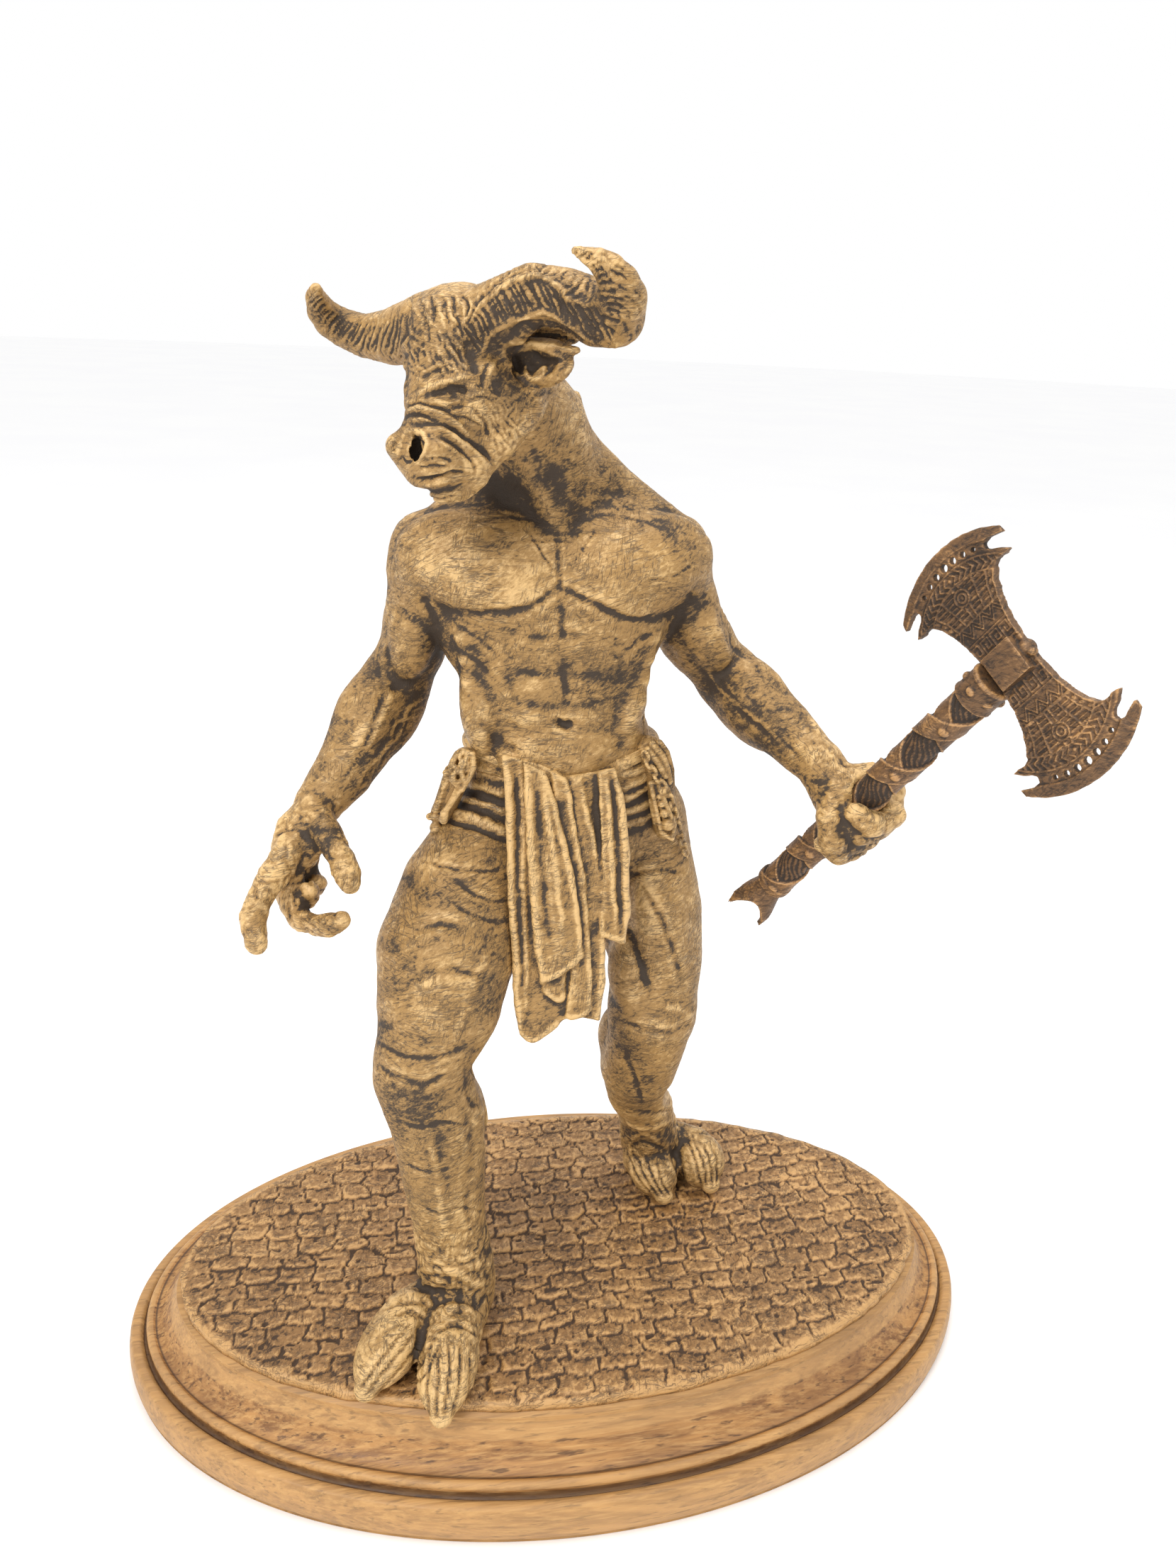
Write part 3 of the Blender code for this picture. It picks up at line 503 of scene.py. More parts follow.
def model_neck(clay):
    clay.limb((((-12, -3, 256), 17), ((-14, -8, 270), 15), ((-18, -16, 280), 13.5),
               ((-27, -26, 290), 12.5), ((-34, -30, 294), 11.5)))
    clay.limb((((-6.5, -4, 269.5), 10.0), ((5.5, -3.5, 260.5), 9.0), ((19, -4, 251.5), 8.4)), blend=3.5)
    clay.limb((((-20, -2, 270), 9.6), ((-32, -3, 258), 8.6), ((-42, -4, 250), 7.6)), blend=3.5)
    clay.limb((((-13, -19, 283), 5), ((-11, -20, 270), 3.8), ((-12, -19, 257), 3.2)), blend=3)
    clay.limb((((-26, -26, 280), 5), ((-18, -22, 268), 3.8), ((-12.5, -19.5, 256), 3.2)), blend=3)
    clay.limb((((-7.5, -9, 287), 2.4), ((-5, -4, 281), 2.6), ((-3, -1, 274), 2.4)), blend=2.5)


def model_right_arm(clay):
    """The free arm, hanging out from the body with an open, clawing hand."""
    clay.lump((-45.4, -6, 240), (16.5, 11, 12.5), along=(-0.25, 0, 1))
    clay.lump((-47, -13, 240), (13, 6, 5), along=(-0.35, -0.1, 1), face=(-0.5, -1, 0), blend=1.6)
    clay.limb((((-46.5, -5, 240), 10), ((-48, -2, 231), 9.4), ((-50, 5, 216), 9.2), ((-54.5, 10, 204), 9.6)))
    clay.lump((-50, -4.5, 221), (14, 6.5, 7), along=(-0.15, 0.3, -1), blend=1.4)
    clay.lump((-51.5, 8, 222), (14, 7, 7), along=(-0.1, 0.3, -1), face=(-0.6, 1, 0), blend=1.6)
    clay.lump((-46, 8, 214), (12, 6, 6), along=(-0.3, 0.3, -1), face=(0.8, 0, 0), blend=1.6)
    clay.lump((-62.5, 3, 198), (15, 9, 10), along=(-0.7, -0.75, -0.8), blend=1.8)
    clay.lump((-61, -3, 197), (14, 5.5, 6), along=(-0.7, -0.85, -0.8), face=(0.3, -1, 0.2), blend=1.2)
    clay.lump((-57, 6, 195), (15, 9, 9), along=(-0.6, -0.75, -0.7), blend=1.5)
    clay.limb((((-55, 10, 203), 10.4), ((-60, 6, 194.5), 11.2), ((-64.5, 0, 190), 10.2),
               ((-70.7, -8, 182), 8.6), ((-78, -15, 174.5), 6.8)))
    clay.lump((-82.5, -24, 169), (11, 7.8, 5), along=(-0.45, -0.45, -0.8), face=(-0.3, -0.9, 0.3), blend=2)
    clay.limb((((-79, -20, 174), 5), ((-75, -30, 171.5), 4.2), ((-71.5, -38, 168), 3.6),
               ((-70, -41.5, 165.5), 3.9), ((-69.2, -43.5, 163.3), 3.1)), blend=1.5)
    clay.limb((((-85.5, -28, 167), 4.6), ((-89.5, -34, 162.5), 4.3), ((-93, -39, 158), 3.5),
               ((-95, -43, 154), 3.9), ((-94, -48.5, 149), 3.1)), blend=1.5)
    clay.limb((((-86, -26, 164), 4.6), ((-86.5, -30.5, 154), 3.7), ((-84, -34, 148.5), 3.5),
               ((-79, -40, 149), 2.9), ((-75, -44, 151), 3.4), ((-71.5, -47, 154), 2.5)), blend=1.5)
    clay.limb((((-84, -20, 163), 4.6), ((-85.5, -22, 152), 3.6), ((-82.5, -26.5, 150.5), 3.4),
               ((-81, -30, 153), 3.1), ((-80.5, -32, 156), 2.5)), blend=1.5)
    clay.limb((((-82, -17, 163), 4.4), ((-82, -18, 154), 3.4), ((-79.5, -22, 152), 3.2),
               ((-78.5, -25, 154.5), 2.5)),
              blend=1.5)


def model_left_arm(clay):
    """The arm that holds the axe, reaching forward, with the fist closed round the haft."""
    clay.lump((23.2, -6, 240), (16.5, 11, 12.5), along=(0.25, 0, 1))
    clay.lump((25.5, -13, 240), (13, 6, 5), along=(0.35, -0.1, 1), face=(0.5, -1, 0), blend=1.6)
    clay.limb((((24, -6, 240), 10.4), ((31, -4, 225), 10), ((39.5, -1, 213), 9.4), ((45.5, 1, 206.5), 9.4)))
    clay.lump((33.5, -10, 223), (13, 6.5, 7), along=(0.6, 0.1, -0.9), blend=1.4)
    clay.lump((35, 4, 222), (13, 7, 7), along=(0.5, 0.2, -0.9), face=(0.6, 1, 0.3), blend=1.6)
    clay.lump((30, 0, 217), (13, 6, 6), along=(0.6, 0.2, -0.7), face=(-0.4, 0, -1), blend=1.6)
    clay.lump((49, -9, 205.5), (15, 9, 9.5), along=(0.35, -0.8, -0.3), blend=1.8)
    clay.lump((51, -9, 198.4), (18, 8.4, 9.4), along=(0.42, -0.85, -0.3), face=(0.3, 0, -1), blend=1.6)
    clay.limb((((46, 0, 206), 9.8), ((50, -13, 202), 9.8), ((56, -27, 197.8), 8.3), ((61.5, -39, 193), 6.8)))
    along_haft = HAFT_DIRECTION
    outward = np.array((0.85, 0.35, -0.35))
    outward = unit(outward - along_haft * np.dot(outward, along_haft))
    front = np.cross(along_haft, outward)
    if front[1] > 0:
        front = -front

    def grip(along, out, towards):
        return GRIP + along_haft * along + outward * out + front * towards

    clay.lump(grip(1, 1.5, -6), (11, 9, 6), along=along_haft, face=front, blend=2)
    clay.limb((((62, -41, 192.5), 6.6), (grip(2, -4, -4), 7.2), (grip(2, 3, -5), 7.2)), blend=2)
    for step in range(4):
        along = 8.2 - 5.4 * step
        size = 3.5 - 0.2 * step
        clay.limb(((grip(along, 4, -7), size + 0.7), (grip(along, 9.8, -2.5), size + 0.7),
                   (grip(along - 0.6, 8.2, 2.0), size - 0.1), (grip(along - 0.6, 7.2, 5.2), size + 0.4),
                   (grip(along - 1.2, 3.5, 7.6), size - 0.4), (grip(along - 1.2, -0.8, 8.2), size + 0.1),
                   (grip(along - 1.2, -5.5, 5.0), size - 0.6)), blend=0.9)
    clay.limb(((grip(4, -6, -3), 4.8), (grip(1.5, -9, 2.5), 4.2), (grip(-1.0, -8.6, 5.5), 3.5),
               (grip(-2.8, -7.5, 8.0), 4.0), (grip(-5.0, -5.0, 9.6), 3.2)), blend=1.0)
    bore = HAFT_RADIUS + 0.5
    clay.limb(((GRIP - along_haft * 40, bore), (GRIP + along_haft * 40, bore)), blend=0.4, cut=True)


def model_leg(clay, thigh, shin, lean):
    """A thigh and a shin with their muscles. lean is -1 for the figure's right leg and 1 for its left one."""
    clay.limb(thigh)
    clay.limb(shin)
    hip, knee, ankle = (np.array(spot, float) for spot in (thigh[0][0], shin[0][0], shin[-1][0]))
    thigh_line, shin_line = knee - hip, ankle - knee
    outside = np.array((lean, 0.0, 0.0))
    front = np.array((0.0, -1.0, 0.0))
    clay.lump(hip + thigh_line * 0.52 + outside * 3.6 + front * 5, (26, 9.8, 11.5), along=thigh_line,
              blend=1.8)
    clay.lump(hip + thigh_line * 0.45 + front * 9, (26, 7, 8), along=thigh_line, blend=1.8)
    clay.lump(hip + thigh_line * 0.74 - outside * 7 + front * 6, (15, 7.5, 8.6), along=thigh_line, blend=1.6)
    clay.lump(hip + thigh_line * 0.45 - outside * 5 - front * 8, (26, 10.5, 11.5), along=thigh_line, blend=2)
    clay.lump(knee + front * 8, (8, 7, 6.5), along=shin_line, blend=1.6)
    clay.lump(knee + shin_line * 0.25 - outside * 7.5 - front * 7, (17, 9.7, 9.5), along=shin_line, blend=1.5)
    clay.lump(knee + shin_line * 0.26 + outside * 3 - front * 4, (17, 7.5, 8.5), along=shin_line, blend=1.8)
    clay.limb(((knee + front * 9 + shin_line * 0.12, 4.0), (knee + front * 7.5 + shin_line * 0.5, 3.2),
               (knee + front * 7 + shin_line * 0.85, 2.6)), blend=2.5)


def model_hoof(clay, heel, toes):
    """A cloven foot: two long rounded toes side by side, each from its knuckle to its tip."""
    heel = np.array(heel, float)
    for knuckle, tip in toes:
        knuckle, tip = np.array(knuckle, float), np.array(tip, float)
        middle = (knuckle + tip) / 2
        middle[2] += 2.5
        length = np.linalg.norm(tip - knuckle)
        clay.limb(((heel, 9.2), (knuckle, 9.0)), blend=2)
        clay.lump(middle - (tip - knuckle) * 0.08, (length * 0.66, 9.6, 8.5), along=tip - knuckle,
                  face=(0, 0, 1), blend=0.8)
        clay.limb(((knuckle, 8.4), (middle - np.array((0, 0, 2)), 8.2), (tip, 3.8)), blend=0.8)


def model_legs(clay):
    """The right leg, forward and nearly straight, and the left one, behind it."""
    thigh = (((-27, -8, 158), 17), ((-37, -19, 147), 18.4), ((-42.5, -29, 132.5), 20.4),
             ((-45, -36, 120), 18.2), ((-49.5, -41, 107), 14.5))
    shin = (((-50.7, -41, 99), 14.3), ((-46.6, -40, 84), 14.2), ((-44.4, -38, 63), 13.0),
            ((-42.4, -37, 40), 11.4), ((-39.6, -36, 16), 12.3))
    model_leg(clay, thigh, shin, -1)
    model_hoof(clay, (-37, -36, 9), (((-42.5, -53, 9), (-47.4, -77.5, 3.5)),
                                     ((-54, -44.5, 9), (-69.3, -65.5, 3.5))))
    thigh = (((20, 2, 160), 15.5), ((23.5, 2, 146), 15), ((26.5, -2, 130), 15.5),
             ((27, -7, 112), 15.2), ((26, -11, 96), 14))
    shin = (((26, -11, 96), 14.2), ((26, -8, 84), 13.2), ((25.2, -1, 68), 13.2),
            ((26, 6, 52), 9.6), ((33, 14, 38), 10), ((38, 24, 16), 11))
    model_leg(clay, thigh, shin, 1)
    model_hoof(clay, (44, 29, 9), (((36.5, 21, 9), (40.2, 6, 3.5)), ((55, 23, 9), (59.3, 9.5, 3.5))))


# Strokes on the trunk and limbs as the photograph shows them: a lift in millimetres, a half width and pixels.
BODY_STROKES = (
    (-0.5, 0.8, ((787, 755), (788, 786), (790, 833))),
    (-0.8, 1.1, ((787, 829), (745, 858), (704, 866), (650, 864), (604, 847))),
    (-0.8, 1.1, ((790, 829), (833, 848), (878, 870), (923, 873), (962, 859), (992, 838))),
    (-0.3, 1.0, ((790, 850), (792, 880), (794, 905))),
    (-0.3, 1.0, ((795, 925), (796, 960), (798, 990))),
    (-0.4, 1.6, ((735, 894), (765, 900), (794, 896), (825, 902), (852, 897))),
    (-0.4, 1.6, ((732, 944), (764, 950), (795, 946), (828, 951), (852, 945))),
    (-0.35, 1.6, ((733, 992), (765, 998), (797, 996), (830, 998), (854, 990))),
    (-0.35, 2.4, ((722, 880), (718, 930), (722, 985), (730, 1040))),
    (-0.35, 2.4, ((870, 885), (874, 930), (872, 985), (862, 1035))),
    (-2.4, 1.1, ((786, 1019), (797, 1024), (809, 1020))),
    (-0.5, 1.8, ((668, 1010), (700, 1040), (735, 1066))),
    (-0.5, 1.8, ((915, 1000), (890, 1036), (862, 1062))),
    (-0.3, 0.7, ((655, 745), (700, 730), (745, 733), (782, 742))),
    (-0.3, 0.7, ((800, 742), (850, 726), (905, 734), (950, 756))),
    (0.3, 1.2, ((812, 708), (850, 703), (900, 714), (945, 737))),
    (-0.22, 0.45, ((700, 765), (760, 762), (810, 766))),
    (-0.22, 0.45, ((735, 738), (765, 780), (782, 810))),
    (-0.22, 0.45, ((842, 745), (825, 772), (806, 796))),
    (-0.22, 0.45, ((905, 822), (950, 812), (985, 792))),
    (-0.3, 0.8, ((640, 880), (680, 905), (710, 935))),
    (-0.3, 0.8, ((640, 915), (676, 936), (704, 968))),
    (-0.3, 0.8, ((925, 890), (890, 912), (872, 940))),
    (-0.8, 1.3, ((592, 839), (606, 862), (618, 890))),
    (-0.8, 1.3, ((980, 833), (962, 866), (944, 900))),
    (0.5, 1.0, ((560, 850), (548, 900), (540, 940), (552, 985))),
    (-0.6, 1.1, ((575, 960), (545, 975), (530, 1010), (512, 1060), (488, 1100))),
    (0.45, 0.6, ((600, 985), (575, 1000), (566, 1030), (540, 1062), (520, 1096))),
    (0.45, 0.6, ((586, 1012), (560, 1020), (548, 1050), (520, 1082), (500, 1118))),
    (0.4, 0.6, ((552, 985), (530, 1030), (505, 1075), (480, 1120))),
    (-0.6, 1.2, ((1015, 850), (1030, 905), (1060, 930), (1075, 955))),
    (0.4, 0.7, ((985, 930), (1030, 985), (1085, 1030), (1130, 1078))),
    (-0.4, 1.0, ((1010, 960), (1050, 1005), (1100, 1045), (1140, 1085))),
    (0.45, 0.8, ((1080, 935), (1125, 990), (1170, 1050))),
    (-0.6, 1.6, ((548, 1352), (576, 1320), (620, 1305), (655, 1308))),
    (-0.5, 1.4, ((560, 1400), (600, 1375), (650, 1370), (690, 1385))),
    (-0.4, 0.8, ((640, 1240), (670, 1262), (700, 1270), (720, 1268))),
    (-0.4, 0.8, ((640, 1275), (670, 1292), (700, 1300), (722, 1296))),
    (-0.35, 0.8, ((600, 1215), (640, 1225), (690, 1228), (715, 1222))),
    (0.55, 1.5, ((700, 1330), (672, 1370), (655, 1420), (640, 1465))),
    (-0.7, 1.2, ((528, 1500), (560, 1520), (600, 1528), (650, 1510))),
    (-0.4, 0.8, ((532, 1470), (570, 1490), (620, 1490), (665, 1472))),
    (-0.8, 1.2, ((664, 1500), (660, 1540), (672, 1570))),
    (-0.7, 1.6, ((655, 1560), (664, 1600), (668, 1640), (660, 1690), (664, 1740))),
    (0.5, 1.6, ((676, 1560), (690, 1590), (686, 1630))),
    (0.4, 1.4, ((606, 1600), (616, 1650), (622, 1700), (630, 1750))),
    (-0.35, 0.6, ((560, 1580), (590, 1590), (630, 1584), (664, 1590))),
    (-0.35, 0.6, ((566, 1640), (600, 1652), (640, 1646))),
    (-0.3, 0.6, ((590, 1700), (620, 1712), (650, 1704), (690, 1712))),
    (-0.5, 1.2, ((905, 1250), (930, 1290), (950, 1340), (962, 1390))),
    (-0.5, 1.2, ((885, 1300), (900, 1350), (915, 1400))),
    (-0.4, 0.8, ((885, 1235), (925, 1228), (965, 1232))),
    (-0.5, 1.2, ((866, 1436), (900, 1450), (940, 1458), (970, 1448))),
    (0.7, 1.6, ((935, 1420), (962, 1425), (975, 1440))),
    (-0.5, 1.0, ((880, 1480), (895, 1520), (905, 1555))),
    (0.5, 0.9, ((668, 1084), (690, 1088), (712, 1096))),
    (1.3, 1.5, ((656, 1104), (684, 1110), (716, 1121))),
    (1.3, 1.5, ((646, 1126), (680, 1134), (718, 1147))),
    (1.2, 1.7, ((634, 1147), (676, 1156), (718, 1175))),
    (-0.8, 0.7, ((628, 1158), (674, 1170), (718, 1188))),
    (1.1, 1.3, ((870, 1093), (892, 1088), (918, 1079))),
    (1.2, 1.3, ((872, 1115), (894, 1104), (920, 1091))),
    (1.2, 1.2, ((876, 1129), (898, 1118), (922, 1106))),
    (1.2, 1.3, ((877, 1148), (900, 1138), (925, 1127))),
    (1.2, 1.4, ((879, 1168), (903, 1156), (930, 1141))),
    (-0.6, 0.8, ((872, 1560), (905, 1570), (945, 1566))),
    (0.7, 0.8, ((880, 1580), (910, 1592), (950, 1580))),
)

GROOVE_WIDTH = 0.55


def toe_grooves(count, lift, *spots, closing=0.0):
    """Grooves side by side down a toe: each spot is a pixel and its step to the next groove."""
    strokes = []
    for number in range(count):
        line = [(x + dx * number, y + dy * number) for x, y, dx, dy in spots]
        line[0] = (line[0][0] - closing * number ** 2, line[0][1])
        strokes.append((lift, GROOVE_WIDTH, tuple(line)))
    return tuple(strokes)


# The grooves that run down each toe, then the split between the toes and their rough knuckles.
HOOF_STROKES = (
    toe_grooves(5, -0.55, (578, 1868, 14, 6), (540, 1915, 15, 5), (503, 1966, 13, 3), closing=0.8)
    + toe_grooves(5, -0.55, (606, 1898, 15, -2), (602, 1955, 15, 2), (606, 2006, 10, -1.5))
    + toe_grooves(4, -0.5, (886, 1628, 13, 2), (898, 1660, 12, 2), (922, 1690, 8, 0))
    + toe_grooves(4, -0.5, (968, 1606, 12, 3), (982, 1640, 10, 0), (990, 1676, 7, 0))
) + (
    (-1.2, 1.3, ((596, 1862), (592, 1900), (588, 1945))),
    (-1.2, 1.2, ((948, 1618), (958, 1650), (966, 1690))),
    (0.9, 1.5, ((545, 1840), (574, 1826), (604, 1838))),
    (0.9, 1.5, ((616, 1856), (648, 1844), (680, 1862))),
    (0.6, 1.2, ((575, 1800), (610, 1790), (650, 1800), (690, 1820))),
    (-0.9, 1.0, ((590, 1815), (620, 1822), (650, 1822))),
    (-0.9, 0.8, ((556, 1858), (580, 1850), (602, 1862))),
    (-0.9, 0.8, ((612, 1880), (644, 1868), (676, 1884))),
    (0.7, 1.0, ((886, 1608), (908, 1600), (934, 1612))),
    (-0.8, 0.8, ((884, 1620), (910, 1612), (938, 1624))),
)


# Where the dark wash lies thick on the body, with painted shade in the armpits and other shaded hollows: a
# strength, a half width in millimetres and pixels.
BODY_WASH_AND_SHADE = (
    (0.85, 2.2, ((668, 1090), (690, 1094), (712, 1104))),
    (0.85, 1.5, ((652, 1115), (684, 1122), (716, 1134))),
    (0.85, 1.3, ((642, 1137), (680, 1145), (718, 1160))),
    (0.85, 1.3, ((628, 1158), (674, 1170), (718, 1189))),
    (0.85, 1.5, ((871, 1103), (894, 1096), (920, 1085))),
    (0.85, 1.1, ((874, 1122), (896, 1111), (920, 1099))),
    (0.85, 1.4, ((877, 1139), (899, 1128), (924, 1117))),
    (0.85, 1.4, ((878, 1158), (902, 1147), (928, 1134))),
    (0.8, 1.6, ((880, 1178), (905, 1166), (932, 1152))),
    (0.6, 5.0, ((650, 1250), (690, 1300), (700, 1360))),
    (0.7, 3.0, ((576, 1240), (600, 1262), (640, 1270))),
    (0.7, 3.0, ((552, 1330), (566, 1352), (600, 1362))),
    (0.7, 3.5, ((540, 1450), (560, 1480), (600, 1490))),
    (0.6, 4.0, ((620, 1410), (650, 1450), (660, 1480))),
    (0.7, 2.6, ((690, 765), (700, 775), (715, 770))),
    (0.5, 4.0, ((930, 730), (960, 760), (975, 800))),
    (0.5, 4.0, ((560, 770), (556, 800), (566, 830))),
    (0.6, 3.0, ((655, 955), (690, 965), (735, 950))),
    (0.5, 3.0, ((840, 950), (870, 965), (890, 955))),
    (1.0, 7.0, ((716, 690), (750, 672), (784, 700))),
    (0.6, 4.0, ((770, 600), (792, 640), (800, 660))),
    (0.5, 3.0, ((735, 560), (745, 575))),
    (0.4, 4.0, ((856, 660), (870, 690), (890, 700))),
    (0.35, 4.0, ((620, 735), (650, 715), (690, 705))),
    (0.6, 1.6, ((787, 831), (745, 858), (684, 867), (630, 858), (592, 839))),
    (0.6, 1.6, ((790, 833), (833, 850), (878, 872), (923, 875), (962, 860), (980, 840))),
    (0.9, 5.0, ((596, 846), (614, 880), (625, 915))),
    (0.9, 6.0, ((596, 890), (600, 930), (576, 970))),
    (0.8, 7.0, ((580, 1000), (545, 1060), (505, 1110))),
    (0.6, 5.0, ((540, 900), (528, 950), (520, 1000))),
    (0.5, 5.0, ((500, 960), (470, 1030), (440, 1090))),
    (0.8, 5.0, ((985, 850), (962, 890), (950, 910))),
    (0.9, 7.0, ((985, 925), (1030, 985), (1090, 1045))),
    (0.5, 4.0, ((1060, 930), (1100, 985), (1140, 1040))),
    (0.7, 3.0, ((1120, 1080), (1140, 1105), (1165, 1110))),
    (0.4, 2.4, ((790, 860), (795, 960))),
    (0.3, 4.0, ((680, 900), (690, 960), (720, 1000))),
    (0.3, 4.0, ((900, 900), (890, 960), (870, 1000))),
    (0.4, 4.0, ((655, 925), (665, 990), (700, 1050))),
    (1.0, 6.0, ((458, 1180), (450, 1230), (468, 1262))),
    (0.8, 5.0, ((425, 1290), (460, 1310), (490, 1290))),
    (0.5, 3.0, ((370, 1240), (362, 1290), (350, 1330))),
    (0.9, 6.0, ((1176, 1196), (1205, 1205), (1232, 1190))),
    (0.8, 2.4, ((1176, 1170), (1200, 1160), (1235, 1170))),
    (0.6, 4.0, ((552, 1392), (590, 1345), (640, 1315))),
    (0.5, 4.0, ((566, 1400), (572, 1445), (600, 1470))),
    (0.5, 5.0, ((640, 1445), (680, 1425), (700, 1390))),
    (0.5, 5.0, ((700, 1200), (715, 1260), (718, 1330))),
    (0.8, 6.0, ((590, 1556), (606, 1600), (620, 1650))),
    (0.6, 4.0, ((552, 1540), (566, 1600), (580, 1660))),
    (0.5, 4.0, ((690, 1650), (690, 1720), (700, 1790))),
    (0.6, 5.0, ((600, 1800), (640, 1830), (680, 1850))),
    (0.6, 5.0, ((900, 1380), (930, 1330), (960, 1290))),
    (0.8, 6.0, ((885, 1480), (900, 1530), (910, 1570))),
    (0.7, 5.0, ((866, 1360), (870, 1420), (880, 1460))),
    (0.7, 5.0, ((890, 1600), (920, 1610), (960, 1600))),
)


# Where the skin is lumpy and crumbling: a middle, a reach and a height.
KNOBBLY = (((-84, -30, 160), 24, 0.55), ((68, -50, 184), 17, 0.5), ((-42, -48, 24), 22, 0.7),
           ((42, 20, 24), 20, 0.6))

# The level at which the trunk is parted in two pieces, under the belt, and how far that cut reaches across.
BELT_LEVEL = 183.0
HIP_REACH = (-50.0, 44.0)


def crumbled(points, quads):
    """Lumpy, pitted skin round the hands and above the hooves."""
    lift = np.zeros(len(points))
    for centre, reach, height in KNOBBLY:
        near = np.exp(-(np.linalg.norm(points - centre, axis=1) / reach) ** 4)
        rough = 1.4 * np.abs(noise(points, 4.2, 71)) + 0.9 * np.abs(noise(points, 1.9, 72)) - 0.75
        lift += near * height * rough
    return points + point_normals(points, quads) * lift[:, None]


def worked_skin(clay):
    """The clay's skin with its strokes, its crumbling, and its wash and painted shade."""
    points, quads = clay.mesh()
    points = smoothed(points, quads, 2)
    points = crumbled(points, quads)
    points = carve_in_photo(points, quads, BODY_STROKES + HOOF_STROKES)
    return points, quads, wash_and_shade_in_photo(points, BODY_WASH_AND_SHADE)


def model_torso():
    """The trunk above the belt, the neck and the arms."""
    clay = Clay((-102, -70, 140), (86, 40, 302), BODY_GRID)
    for part in (model_trunk, model_neck, model_right_arm, model_left_arm):
        part(clay)
    for shoulder in (-41.5, 19.5):
        clay.lump((shoulder, -15, 245), (12, 10.5, 8.5), along=(1, 0, 0), blend=5)
    first, last = (int((x - clay.low[0]) / clay.step) for x in HIP_REACH)
    level = clay.low[2] + clay.step * np.arange(clay.values.shape[2])
    clay.values[first:last] = np.maximum(clay.values[first:last], BELT_LEVEL - level)
    return worked_skin(clay)


def model_hips_and_legs():
    """The trunk below the belt and the legs, down to the flat soles."""
    clay = Clay((-84, -84, -2), (72, 44, 190), BODY_GRID)
    model_trunk(clay)
    model_legs(clay)
    level = clay.low[2] + clay.step * np.arange(clay.values.shape[2])
    clay.values = np.maximum(clay.values, np.maximum(-level, level - BELT_LEVEL))
    return worked_skin(clay)


# The head.

